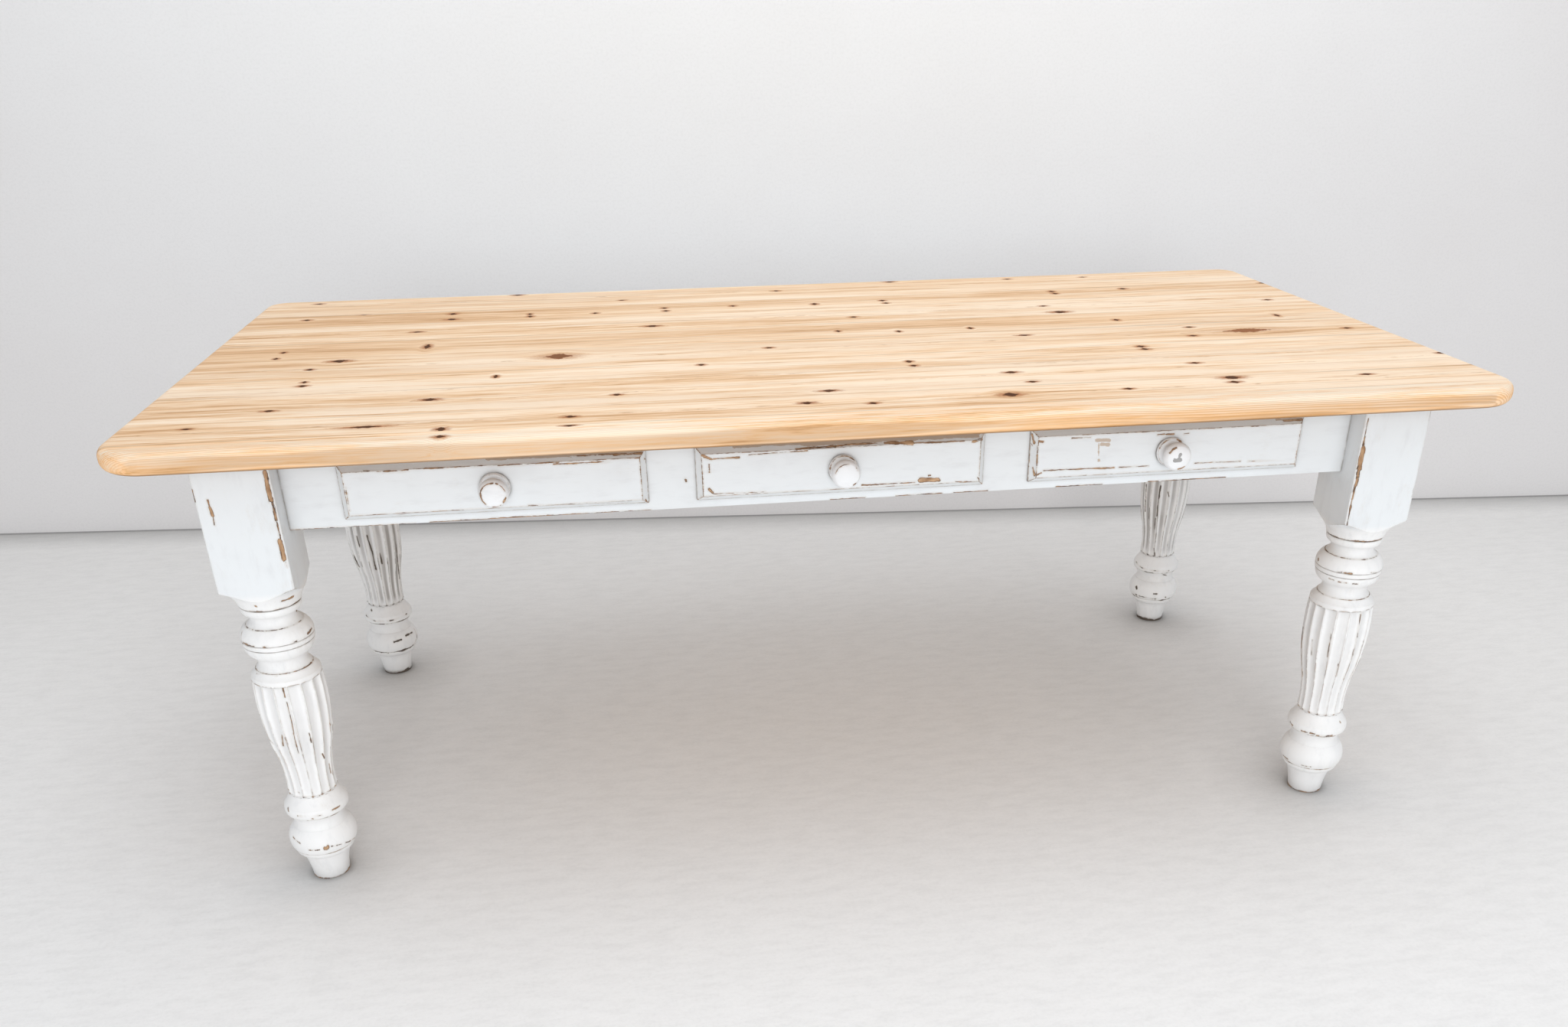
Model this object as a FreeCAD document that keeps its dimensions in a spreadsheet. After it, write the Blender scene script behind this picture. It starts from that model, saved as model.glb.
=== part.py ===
import FreeCAD, Part
import math
import os

import Sketcher
from FreeCAD import Placement, Rotation, Vector

# Kitchen table: a pine top of edge-glued boards on a painted base with four turned,
# fluted legs, mortised aprons and three lipped drawers that open towards -Y.
# Millimetres. X runs along the table, Z is up, and the origin is on the floor at its middle.

doc = FreeCAD.newDocument("kitchen_table")
sheet = doc.addObject("Spreadsheet::Sheet", "sizes")


# ---------------------------------------------------------------- sizes and expressions


class Size:
    """A length that carries its value and the spreadsheet expression behind it."""

    def __init__(self, text, value):
        self.text = text
        self.value = float(value)

    @staticmethod
    def of(number):
        """Return number itself if it is a Size, or a Size that holds a plain number."""
        return number if isinstance(number, Size) else Size(repr(float(number)), number)

    def combine(self, sign, other, value):
        """Return the Size of one arithmetic step."""
        return Size(f"({self.text} {sign} {other.text})", value)

    def __add__(self, other):
        other = Size.of(other)
        return self.combine("+", other, self.value + other.value)

    def __sub__(self, other):
        other = Size.of(other)
        return self.combine("-", other, self.value - other.value)

    def __mul__(self, other):
        other = Size.of(other)
        return self.combine("*", other, self.value * other.value)

    def __truediv__(self, other):
        other = Size.of(other)
        return self.combine("/", other, self.value / other.value)

    def __neg__(self):
        return Size(f"(0 - {self.text})", -self.value)


def smaller(first, second):
    """Return the lesser of two Sizes, as an expression that stays live."""
    return Size(f"min({first.text}; {second.text})", min(first.value, second.value))


def size(alias, value, note):
    """Write one driving dimension on the sheet and return it as a Size.

    Args:
        alias: The name that expressions use for the cell.
        value: Millimetres, degrees or a count.
        note: What the dimension is, for whoever opens the sheet.
    """
    size.row += 1
    sheet.set(f"A{size.row}", alias)
    sheet.set(f"B{size.row}", str(value))
    sheet.set(f"C{size.row}", note)
    sheet.setAlias(f"B{size.row}", alias)
    return Size(f"sizes.{alias}", value)


size.row = 0

# Overall
table_height = size("table_height", 780, "floor to the upper face of the top")
top_length = size("top_length", 2080, "length of the top")
top_width = size("top_width", 1090, "width of the top")
top_thickness = size("top_thickness", 33, "thickness of the top")
edge_round = size("edge_round", 14, "radius on the top's upper and lower edges")
edge_flat = size("edge_flat", 1, "least flat between the upper and lower edge rounds")
front_corner_round = size("front_corner_round", 70, "radius of the top's two front corners in plan")
back_corner_round = size("back_corner_round", 45, "radius of the top's two back corners in plan")
end_overhang = size("end_overhang", 98, "top beyond the legs at each end")
side_overhang = size("side_overhang", 94, "top beyond the legs at front and back")

board_margin = size("board_margin", 5, "slabs that divide the top stand this far past it")

# Boards of the top, counted from the back; the fifth takes what the others leave
board_1_width = size("board_1_width", 173, "board at the back edge")
board_2_width = size("board_2_width", 110, "second board")
board_3_width = size("board_3_width", 147, "third board")
board_4_width = size("board_4_width", 127, "fourth board")
board_6_width = size("board_6_width", 100, "sixth board")
board_7_width = size("board_7_width", 145, "seventh board")
board_8_width = size("board_8_width", 100, "eighth board")
board_9_width = size("board_9_width", 45, "strip at the front edge")

# Frame
block_width = size("block_width", 110, "square of the leg at the frame")
block_arris = size("block_arris", 2, "radius on the block's upright corners")
apron_height = size("apron_height", 130, "height of the aprons")
apron_thickness = size("apron_thickness", 22, "thickness of the aprons")
apron_inset = size("apron_inset", 42, "aprons back from the faces of the leg blocks")
tenon_thickness = size("tenon_thickness", 10, "thickness of the apron tenons")
tenon_length = size("tenon_length", 35, "length of the apron tenons")
tenon_shoulder = size("tenon_shoulder", 20, "shoulder above and below an apron tenon")
rail_shoulder = size("rail_shoulder", 3, "shoulder above and below a rail tenon")
upright_tenon_length = size("upright_tenon_length", 7, "tenons of the front frame's uprights")
upright_tenon_thickness = size("upright_tenon_thickness", 8, "thickness of those tenons")
upright_tenon_setback = size("upright_tenon_setback", 4, "those tenons back from the frame's face")
upright_shoulder = size("upright_shoulder", 10, "shoulder at each side of those tenons")
glue_gap = size("glue_gap", 0.2, "glue line round a tenon in its mortise")

# Drawer openings; the uprights divide the front between the legs into three
opening_height = size("opening_height", 68, "height of a drawer opening")
bottom_rail_height = size("bottom_rail_height", 21, "rail under the openings")
muntin_width = size("muntin_width", 90, "upright between two openings")
stile_width = size("stile_width", 91, "upright between a leg and the opening beside it")

# Drawer carriage
bearing_width = size("bearing_width", 18, "runner and kicker beside the guide, under a drawer")
runner_height = size("runner_height", 18, "thickness of a runner")
kicker_height = size("kicker_height", 20, "thickness of a kicker")
guide_height = size("guide_height", 20, "height of a guide above its runner")
end_guide_width = size("end_guide_width", 20, "width of a guide beside the end drawers")
stub_length = size("stub_length", 8, "stub tenons of runners and kickers")
stub_height = size("stub_height", 8, "height of those tenons")
stub_shoulder = size("stub_shoulder", 6, "shoulder at each side of those tenons")

# Drawers
lip_overlap = size("lip_overlap", 8, "drawer front over the edge of its opening")
lip_edge = size("lip_edge", 3, "thin edge of the lip, before the bevel")
bevel_depth = size("bevel_depth", 13, "rise of the bevel from the lip to the field")
bevel_width = size("bevel_width", 9, "width of the bevel seen from the front")
plug_thickness = size("plug_thickness", 10, "part of the front that enters the opening")
lip_gap = size("lip_gap", 0.3, "lip of a closed drawer off the frame")
runner_gap = size("runner_gap", 0.3, "drawer above its runners")
kicker_gap = size("kicker_gap", 2, "drawer below its kickers")
guide_gap = size("guide_gap", 1.5, "drawer side off its guide")
drawer_length = size("drawer_length", 460, "drawer side, from the lip to its far end")
side_thickness = size("side_thickness", 12, "thickness of drawer sides and backs")
bottom_thickness = size("bottom_thickness", 6, "thickness of a drawer bottom")
bottom_rise = size("bottom_rise", 8, "groove for the bottom above the side's lower edge")
groove_depth = size("groove_depth", 6, "depth of the groove for the bottom")
groove_gap = size("groove_gap", 0.2, "play of the bottom in its groove")
back_setback = size("back_setback", 12, "drawer back from the ends of the sides")
housing_depth = size("housing_depth", 4, "drawer back into the sides")
tail_count = size("tail_count", 2, "dovetails on each drawer side")
tail_root = size("tail_root", 14, "width of a dovetail at its shoulder")
tail_tip = size("tail_tip", 20, "width of a dovetail at its end")

# Knobs
knob_radius = size("knob_radius", 21.5, "head of the knob")
knob_base_radius = size("knob_base_radius", 21.5, "collar against the drawer")
knob_base_height = size("knob_base_height", 7, "thickness of that collar")
knob_neck_radius = size("knob_neck_radius", 13, "neck behind the head")
knob_neck_length = size("knob_neck_length", 19, "neck and flare, from collar to head")
knob_head_length = size("knob_head_length", 13, "rounded edge of the head")
knob_face_radius = size("knob_face_radius", 18, "rim of the face")
knob_face_rise = size("knob_face_rise", 4, "dome of the face")
knob_base_curve = size("knob_base_curve", 1.2, "rounding of the collar's edge")
knob_hollow_length = size("knob_hollow_length", 5, "length of the hollow over the collar")
knob_hollow_curve = size("knob_hollow_curve", 2, "curve of that hollow")
knob_neck_curve = size("knob_neck_curve", 4, "curve from the neck to the head")
knob_head_curve = size("knob_head_curve", 2, "rounding of the head's edge")
spigot_radius = size("spigot_radius", 8, "spigot glued through the drawer front")
spigot_gap = size("spigot_gap", 0.15, "glue line round the spigot")

# Fixings of the top
button_spacing = size("button_spacing", 400, "buttons along the front and back")
end_button_spacing = size("end_button_spacing", 360, "buttons along each end")
button_width = size("button_width", 30, "button along the apron")
button_length = size("button_length", 40, "button across, without its tongue")
button_height = size("button_height", 20, "thickness of a button")
tongue_length = size("tongue_length", 9, "tongue of a button")
tongue_height = size("tongue_height", 8, "thickness of the tongue")
tongue_drop = size("tongue_drop", 8, "tongue below the top")
slot_length = size("slot_length", 60, "slot in the apron, long enough for the top to move")
slot_gap = size("slot_gap", 0.3, "slot above and below the tongue")
slot_depth = size("slot_depth", 10, "depth of the slot")
button_screw_setback = size("button_screw_setback", 24, "screw from the face of the apron")
screw_length = size("screw_length", 36, "length of a button screw")
screw_radius = size("screw_radius", 2, "shank of a button screw")
screw_head_radius = size("screw_head_radius", 4, "head of a button screw")
screw_head_height = size("screw_head_height", 3, "countersunk head")
screw_tip_length = size("screw_tip_length", 5, "point of the screw")
screw_gap = size("screw_gap", 0.1, "hole round the screw")

# Flutes of the legs
flute_count = size("flute_count", 16, "flutes round a leg")
flute_radius = size("flute_radius", 14.5, "radius of the flute cutter")
flute_depth = size("flute_depth", 4.6, "depth of a flute")
flute_runout = size("flute_runout", 3, "cutter past the foot of the vase")

DRAWERS = 3

STRAIGHT = 0
HOLLOW = 1
SWELL = -1
TANGENT = "tangent"

# The turning, station by station from the floor: name, rise above the station before,
# depth in from the face of the block, and how the edge that leaves it curves.
TURNING = [
    ("foot_rim", 0, 25.5, HOLLOW, 1.6),
    ("foot_top", 50, 16, STRAIGHT, 0),
    ("collar_low", 0.5, 12, SWELL, 1.5),
    ("collar_high", 10.5, 6.5, STRAIGHT, 0),
    ("low_bulb_lip", 2.5, 4.2, SWELL, 6.7),
    ("low_bulb_top", 40, 11, STRAIGHT, 0),
    ("low_neck", 1, 12.2, HOLLOW, 3.8),
    ("ring_underside", 22.5, 9.5, STRAIGHT, 0),
    ("ring_low", 5, 5.2, SWELL, 1.2),
    ("ring_high", 14, 5.5, HOLLOW, 0.8),
    ("vase_seat", 22, 19, STRAIGHT, 0),
    ("vase_foot", 0.5, 14, TANGENT, 0),
    ("vase_waist", 77, 9.2, SWELL, 4.6),
    ("flute_top", 132, 2, STRAIGHT, 0),
    ("shoulder_low", 8, 2.7, HOLLOW, 0.6),
    ("shoulder_high", 10, 11.5, STRAIGHT, 0),
    ("middle_neck", 1, 13, HOLLOW, 4.6),
    ("bulb_foot", 20, 14, SWELL, 3.2),
    ("low_groove_edge", 20, 2.2, STRAIGHT, 0),
    ("low_groove", 1, 3.4, STRAIGHT, 0),
    ("band_low", 1, 1.5, SWELL, 0.2),
    ("band_high", 7, 0.5, STRAIGHT, 0),
    ("high_groove", 1, 1.7, STRAIGHT, 0),
    ("bulb_crown", 1, 0.6, SWELL, 3.4),
    ("bulb_top", 21.5, 11.5, STRAIGHT, 0),
    ("high_neck", 1, 13.2, HOLLOW, 7),
    ("bead_low", 19.5, 13, SWELL, 1.5),
    ("bead_high", 11.5, 10, STRAIGHT, 0),
    ("bead_groove", 1, 11.2, STRAIGHT, 0),
]
pommel_step = size("pommel_step", 1, "rise from the last groove to the pommel")
pommel_depth = size("pommel_depth", 9, "foot of the pommel, in from the block's face")
pommel_rise = size("pommel_rise", 36.5, "pommel, from its neck to the block's corners")
pommel_curve = size("pommel_curve", 6.7, "hollow of the pommel")
pommel_margin = size("pommel_margin", 2.2, "turned blank beyond the block's corners")


# ---------------------------------------------------------------- places worked out from them

half_length = top_length / 2
half_width = top_width / 2
block_half = block_width / 2
leg_x = half_length - end_overhang - block_half
leg_y = half_width - side_overhang - block_half
frame_top = table_height - top_thickness
apron_bottom = frame_top - apron_height
rail_end_x = leg_x - block_half
rail_end_y = leg_y - block_half
apron_face_x = leg_x + block_half - apron_inset
apron_face_y = leg_y + block_half - apron_inset
apron_inner_x = apron_face_x - apron_thickness
apron_inner_y = apron_face_y - apron_thickness
opening_bottom = apron_bottom + bottom_rail_height
opening_top = opening_bottom + opening_height
opening_width = (rail_end_x * 2 - stile_width * 2 - muntin_width * 2) / DRAWERS
drawer_pitch = opening_width + muntin_width
opening_half = opening_width / 2
lip_plane = -apron_face_y - lip_gap
plug_plane = lip_plane + plug_thickness
groove_front = plug_plane - groove_depth
field_plane = lip_plane - lip_edge - bevel_depth
drawer_end = lip_plane + drawer_length
box_half = opening_half - guide_gap
box_bottom = opening_bottom + runner_gap
box_top = opening_top - kicker_gap
inner_half = box_half - side_thickness
bottom_low = box_bottom + bottom_rise
bottom_high = bottom_low + bottom_thickness
back_rear = drawer_end - back_setback
back_face = back_rear - side_thickness


# ---------------------------------------------------------------- document helpers

nodes = []


def node(item, label):
    """Name an object as one of the table's pieces, to be written to its own file."""
    item.Label = label
    nodes.append(item)
    return item


def place(item, x, y, z, rotation=None):
    """Bind an object's position to Sizes, with a fixed rotation."""
    item.Placement = Placement(Vector(0, 0, 0), rotation or Rotation())
    for axis, length in (("x", x), ("y", y), ("z", z)):
        item.setExpression(f"Placement.Base.{axis}", Size.of(length).text)
    return item


class Block:
    """A box with square faces, held as a low and a high Size along each axis."""

    def __init__(self, x, y, z):
        self.spans = [tuple(Size.of(end) for end in span) for span in (x, y, z)]

    def grown(self, gap):
        """Return the same box with every face moved out by gap."""
        return Block(*[(low - gap, high + gap) for low, high in self.spans])


def make_box(name, block):
    """Add a Part::Box bound to the block's Sizes."""
    item = doc.addObject("Part::Box", name)
    for side, (low, high) in zip(("Length", "Width", "Height"), block.spans):
        item.setExpression(side, (high - low).text)
    return place(item, *[low for low, _ in block.spans])


def fuse(name, items):
    """Join several objects into one solid."""
    item = doc.addObject("Part::MultiFuse", name)
    item.Shapes = items
    item.Refine = True
    return item


def group(name, items):
    """Hold several objects as one compound of separate solids."""
    item = doc.addObject("Part::Compound", name)
    item.Links = items
    return item


def cut(name, base, tools):
    """Take one or several objects away from a solid."""
    item = doc.addObject("Part::Cut", name)
    item.Base = base
    item.Tool = tools[0] if len(tools) == 1 else group(f"{name}_tools", tools)
    item.Refine = True
    return item


def make_wedge(name, x, y, z, far_x, far_z):
    """Add a Part::Wedge whose section changes along Y.

    Args:
        name: The object's name.
        x: Low and high X at the near end, the one with the lower Y.
        y: Low and high Y.
        z: Low and high Z at the near end.
        far_x: Low and high X at the far end.
        far_z: Low and high Z at the far end.
    """
    item = doc.addObject("Part::Wedge", name)
    spans = {"Xmin": x[0], "Xmax": x[1], "Ymin": y[0], "Ymax": y[1], "Zmin": z[0], "Zmax": z[1],
             "X2min": far_x[0], "X2max": far_x[1], "Z2min": far_z[0], "Z2max": far_z[1]}
    for name_of_size, length in spans.items():
        setattr(item, name_of_size, Size.of(length).value)
        item.setExpression(name_of_size, Size.of(length).text)
    return item


def make_body(name):
    """Add an empty PartDesign body."""
    return doc.addObject("PartDesign::Body", name)


def origin_part(body, role):
    """Return one of a body's own origin planes or axes by its role."""
    return next(item for item in body.Origin.OriginFeatures if item.Role == role)


def new_sketch(body, name, plane, lift=None):
    """Add a sketch on one of the body's origin planes, raised by lift if given."""
    sketch = body.newObject("Sketcher::SketchObject", name)
    sketch.AttachmentSupport = [(origin_part(body, plane), "")]
    sketch.MapMode = "FlatFace"
    if lift is not None:
        sketch.setExpression("AttachmentOffset.Base.z", lift.text)
    return sketch


def pin_point(sketch, edge, end, x, y):
    """Hold one end of an edge at a place measured from the sketch's origin."""
    for kind, axis, length in (("DistanceX", -2, x), ("DistanceY", -1, y)):
        if length.value == 0:
            sketch.addConstraint(Sketcher.Constraint("PointOnObject", edge, end, axis))
            continue
        index = sketch.addConstraint(Sketcher.Constraint(kind, -1, 1, edge, end, length.value))
        sketch.setExpression(f"Constraints[{index}]", length.text)


def arc_bulge_from_tangent(start, end, direction):
    """Return the bulge of an arc from start to end that leaves end along direction."""
    chord = end - start
    turn = math.atan2(direction.y, direction.x) - math.atan2(chord.y, chord.x)
    return -chord.Length / 2 * math.tan(turn / 2)


def draw_path(sketch, corners, closed=True):
    """Draw a chain of lines and arcs whose corners are bound to Sizes.

    Args:
        sketch: The sketch to draw in.
        corners: One (x, y, curve) for each corner. curve describes the edge to the next
            corner: None for a line, a Size for the rise of an arc to the left of the way
            it runs, negative to the right, or TANGENT for an arc that meets the next one
            smoothly.
        closed: Whether the last corner joins the first.
    """
    points = [Vector(x.value, y.value, 0) for x, y, _ in corners]
    count = len(corners) if closed else len(corners) - 1
    bulges = [corners[i][2] for i in range(count)]
    ends = []
    for i in range(count):
        start, end = points[i], points[(i + 1) % len(points)]
        chord = end - start
        left = Vector(-chord.y, chord.x, 0).normalize()
        bulge = bulges[i].value if isinstance(bulges[i], Size) else 0.0
        if bulges[i] == TANGENT:
            far = points[(i + 2) % len(points)]
            onward = far - end
            lean = 2 * math.atan2(2 * bulges[i + 1].value, onward.Length)
            angle = math.atan2(onward.y, onward.x) + lean
            bulge = arc_bulge_from_tangent(start, end, Vector(math.cos(angle), math.sin(angle), 0))
        if bulge == 0.0:
            ends.append((sketch.addGeometry(Part.LineSegment(start, end), False), 1, 2))
            continue
        middle = (start + end) * 0.5 + left * bulge
        if bulge > 0:
            ends.append((sketch.addGeometry(Part.Arc(end, middle, start), False), 2, 1))
        else:
            ends.append((sketch.addGeometry(Part.Arc(start, middle, end), False), 1, 2))
    for i in range(count):
        edge, first, last = ends[i]
        following = ends[(i + 1) % count]
        if closed or i < count - 1:
            kind = "Tangent" if bulges[i] == TANGENT else "Coincident"
            sketch.addConstraint(Sketcher.Constraint(kind, edge, last, following[0], following[1]))
        pin_point(sketch, edge, first, corners[i][0], corners[i][1])
        if isinstance(bulges[i], Size):
            bulge = bulges[i]
            after = corners[(i + 1) % len(corners)]
            run, rise = after[0] - corners[i][0], after[1] - corners[i][1]
            square = run * run + rise * rise
            rise_of_arc = bulge if bulge.value > 0 else -bulge
            radius = square / (rise_of_arc * 8) + rise_of_arc / 2
            index = sketch.addConstraint(Sketcher.Constraint("Radius", edge, radius.value))
            sketch.setExpression(f"Constraints[{index}]", radius.text)
    if not closed:
        edge, _, last = ends[-1]
        pin_point(sketch, edge, last, corners[-1][0], corners[-1][1])


def draw_circle(sketch, x, y, radius):
    """Draw a circle bound to Sizes."""
    circle = Part.Circle(Vector(x.value, y.value, 0), Vector(0, 0, 1), radius.value)
    edge = sketch.addGeometry(circle, False)
    pin_point(sketch, edge, 3, x, y)
    index = sketch.addConstraint(Sketcher.Constraint("Radius", edge, radius.value))
    sketch.setExpression(f"Constraints[{index}]", radius.text)


def corner_bulge(radius):
    """Return the bulge of a quarter circle that turns outwards."""
    return -(radius * (1 - math.sqrt(0.5)))


def draw_rounded_rectangle(sketch, half_x, half_y, front, back):
    """Draw a rectangle about the sketch's origin with a radius for its front and its back corners."""
    front_x, front_y, front_bulge = half_x - front, half_y - front, corner_bulge(front)
    back_x, back_y, back_bulge = half_x - back, half_y - back, corner_bulge(back)
    draw_path(sketch, [
        (-front_x, -half_y, None), (front_x, -half_y, front_bulge),
        (half_x, -front_y, None), (half_x, back_y, back_bulge),
        (back_x, half_y, None), (-back_x, half_y, back_bulge),
        (-half_x, back_y, None), (-half_x, -front_y, front_bulge),
    ])


def revolve(body, sketch, name):
    """Turn a sketch about its upright axis."""
    item = body.newObject("PartDesign::Revolution", name)
    item.Profile = sketch
    item.ReferenceAxis = (sketch, ["V_Axis"])
    item.Angle = 360
    return item


# ---------------------------------------------------------------- legs


def turning_stations():
    """Return each station of the turning by name: its radius, height and outgoing curve."""
    height = Size.of(0)
    stations = {}
    for name, rise, depth, curve, amount in TURNING:
        if rise > 0:
            height = height + size(f"{name}_rise", rise, f"rise to {name} from the station below")
        radius = block_half - size(f"{name}_depth", depth, f"{name}, in from the block's face")
        bulge = TANGENT if curve == TANGENT else None
        if curve in (HOLLOW, SWELL):
            bulge = size(f"{name}_curve", amount, f"rise of the curve above {name}") * curve
        stations[name] = (radius, height, bulge)
    return stations


def build_turning():
    """Turn, square and flute one leg about the Z axis."""
    body = make_body("leg_turning")
    stations = turning_stations()
    axis = Size.of(0)
    pommel_low = stations["bead_groove"][1] + pommel_step
    blank_radius = block_half * math.sqrt(2) + pommel_margin
    outline = new_sketch(body, "leg_outline", "XZ_Plane")
    draw_path(outline, [
        (axis, Size.of(0), None),
        *stations.values(),
        (block_half - pommel_depth, pommel_low, pommel_curve),
        (blank_radius, pommel_low + pommel_rise, None),
        (blank_radius, frame_top, None),
        (axis, frame_top, None),
    ])
    revolve(body, outline, "leg_revolution")

    square = new_sketch(body, "block_square", "XY_Plane")
    draw_rounded_rectangle(square, block_half, block_half, block_arris, block_arris)
    draw_path(square, [(-block_width, -block_width, None), (block_width, -block_width, None),
                       (block_width, block_width, None), (-block_width, block_width, None)])
    squaring = body.newObject("PartDesign::Pocket", "block_squaring")
    squaring.Profile = square
    squaring.Type = "ThroughAll"
    squaring.Midplane = True

    foot, waist, head = [stations[name] for name in ("vase_foot", "vase_waist", "flute_top")]
    spine = new_sketch(body, "flute_spine", "XZ_Plane")
    start_height = foot[1] - flute_runout
    draw_path(spine, [(foot[0], start_height, TANGENT), waist, (head[0], head[1], None)], closed=False)
    section = new_sketch(body, "flute_section", "XY_Plane", start_height)
    draw_circle(section, foot[0] + flute_radius - flute_depth, Size.of(0), flute_radius)
    flute = body.newObject("PartDesign::SubtractivePipe", "flute")
    flute.Profile = section
    flute.Spine = (spine, ["Edge1", "Edge2"])
    flutes = body.newObject("PartDesign::PolarPattern", "flutes")
    flutes.Originals = [flute]
    flutes.Axis = (origin_part(body, "Z_Axis"), [""])
    flutes.Angle = 360
    flutes.Occurrences = int(flute_count.value)
    flutes.setExpression("Occurrences", flute_count.text)
    body.Tip = flutes
    return body


def tenon_blocks(kind):
    """Return the Z span of each tenon at the end of an apron, or of the two front rails."""
    if kind == "apron":
        return [(apron_bottom + tenon_shoulder, frame_top - tenon_shoulder)]
    return [(apron_bottom + rail_shoulder, opening_bottom - rail_shoulder),
            (opening_top + rail_shoulder, frame_top - rail_shoulder)]


def long_tenon(side, end, z_span):
    """Return the tenon at one end of a long rail.

    Args:
        side: -1 at the front, 1 at the back.
        end: -1 at the left, 1 at the right.
        z_span: Low and high Z of the tenon.
    """
    middle = (apron_face_y - apron_thickness / 2) * side
    half = tenon_thickness / 2
    ends = sorted([rail_end_x * end, (rail_end_x + tenon_length) * end], key=lambda x: x.value)
    return Block(ends, (middle - half, middle + half), z_span)


def short_tenon(side, end, z_span):
    """Return the tenon at one end (-1 front, 1 back) of the apron at one side of the table."""
    middle = (apron_face_x - apron_thickness / 2) * side
    half = tenon_thickness / 2
    ends = sorted([rail_end_y * end, (rail_end_y + tenon_length) * end], key=lambda y: y.value)
    return Block((middle - half, middle + half), ends, z_span)


def build_legs():
    """Stand a turned leg in each corner and cut its mortises."""
    turning = build_turning()
    for side_name, side in (("front", -1), ("back", 1)):
        for end_name, end in (("left", -1), ("right", 1)):
            name = f"leg_{side_name}_{end_name}"
            blank = place(group(f"{name}_blank", [turning]), leg_x * end, leg_y * side, 0)
            kind = "rail" if side < 0 else "apron"
            tenons = [long_tenon(side, end, span) for span in tenon_blocks(kind)]
            tenons += [short_tenon(end, side, span) for span in tenon_blocks("apron")]
            mortises = [make_box(f"{name}_mortise_{i}", tenon.grown(glue_gap))
                        for i, tenon in enumerate(tenons)]
            node(cut(f"{name}_cut", blank, mortises), name)


# ---------------------------------------------------------------- frame


def carriage_spans():
    """Return the four places of runners and kickers: name, bearing span and guide span in X."""
    spans = []
    outer = drawer_pitch + opening_half
    inner = drawer_pitch - opening_half
    for name, low, high in (("left_end", -outer - end_guide_width, -outer),
                            ("left_middle", -inner, -opening_half),
                            ("right_middle", opening_half, inner),
                            ("right_end", outer, outer + end_guide_width)):
        bearing_low = low if name == "left_end" else low - bearing_width
        bearing_high = high if name == "right_end" else high + bearing_width
        spans.append((name, (bearing_low, bearing_high), (low, high)))
    return spans


def carriage_piece(x_span, low, height):
    """Return the body and the two stub tenons of a runner or kicker."""
    middle = low + height / 2
    z_stub = (middle - stub_height / 2, middle + stub_height / 2)
    x_stub = (x_span[0] + stub_shoulder, x_span[1] - stub_shoulder)
    bar = Block(x_span, (-apron_inner_y, apron_inner_y), (low, low + height))
    front = Block(x_stub, (-apron_inner_y - stub_length, -apron_inner_y), z_stub)
    back = Block(x_stub, (apron_inner_y, apron_inner_y + stub_length), z_stub)
    return bar, front, back


def button_places():
    """Return where each button stands: x, y and its turn about Z, tongue towards the apron."""
    places = []
    for step in (-1.5, -0.5, 0.5, 1.5):
        places.append((button_spacing * step, -apron_inner_y, 0))
        places.append((button_spacing * step, apron_inner_y, 180))
    for step in (-0.5, 0.5):
        places.append((-apron_inner_x, end_button_spacing * step, 270))
        places.append((apron_inner_x, end_button_spacing * step, 90))
    return places


def button_slot(x, y, turn):
    """Return the slot in the apron for the button at one place."""
    low = frame_top - tongue_drop - tongue_height - slot_gap
    z_span = (low, low + tongue_height + slot_gap * 2)
    half = slot_length / 2
    if turn in (0, 180):
        deep = y - slot_depth if turn == 0 else y + slot_depth
        return Block((x - half, x + half), sorted([y, deep], key=lambda end: end.value), z_span)
    deep = x - slot_depth if turn == 270 else x + slot_depth
    return Block(sorted([x, deep], key=lambda end: end.value), (y - half, y + half), z_span)


def build_long_rail(name, side, z_span, tenon_spans, sockets, turn):
    """Build one rail between two legs, with its tenons, sockets and button slots."""
    y_span = sorted([apron_face_y * side, apron_inner_y * side], key=lambda y: y.value)
    bar = make_box(f"{name}_bar", Block((-rail_end_x, rail_end_x), y_span, z_span))
    tenons = [make_box(f"{name}_tenon_{i}", long_tenon(side, end, span))
              for i, (end, span) in enumerate((end, span) for end in (-1, 1) for span in tenon_spans)]
    slots = [button_slot(*where) for where in button_places() if turn is not None and where[2] == turn]
    holes = [make_box(f"{name}_socket_{i}", block.grown(glue_gap)) for i, block in enumerate(sockets)]
    holes += [make_box(f"{name}_slot_{i}", block) for i, block in enumerate(slots)]
    node(cut(f"{name}_cut", fuse(f"{name}_solid", [bar] + tenons), holes), name)


def build_end_apron(name, side, turn):
    """Build the apron at one end of the table."""
    x_span = sorted([apron_face_x * side, apron_inner_x * side], key=lambda x: x.value)
    bar = make_box(f"{name}_bar", Block(x_span, (-rail_end_y, rail_end_y), (apron_bottom, frame_top)))
    tenons = [make_box(f"{name}_tenon_{i}", short_tenon(side, end, span))
              for i, (end, span) in enumerate((end, span) for end in (-1, 1)
                                              for span in tenon_blocks("apron"))]
    slots = [button_slot(*where) for where in button_places() if where[2] == turn]
    holes = [make_box(f"{name}_slot_{i}", block) for i, block in enumerate(slots)]
    node(cut(f"{name}_cut", fuse(f"{name}_solid", [bar] + tenons), holes), name)


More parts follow.
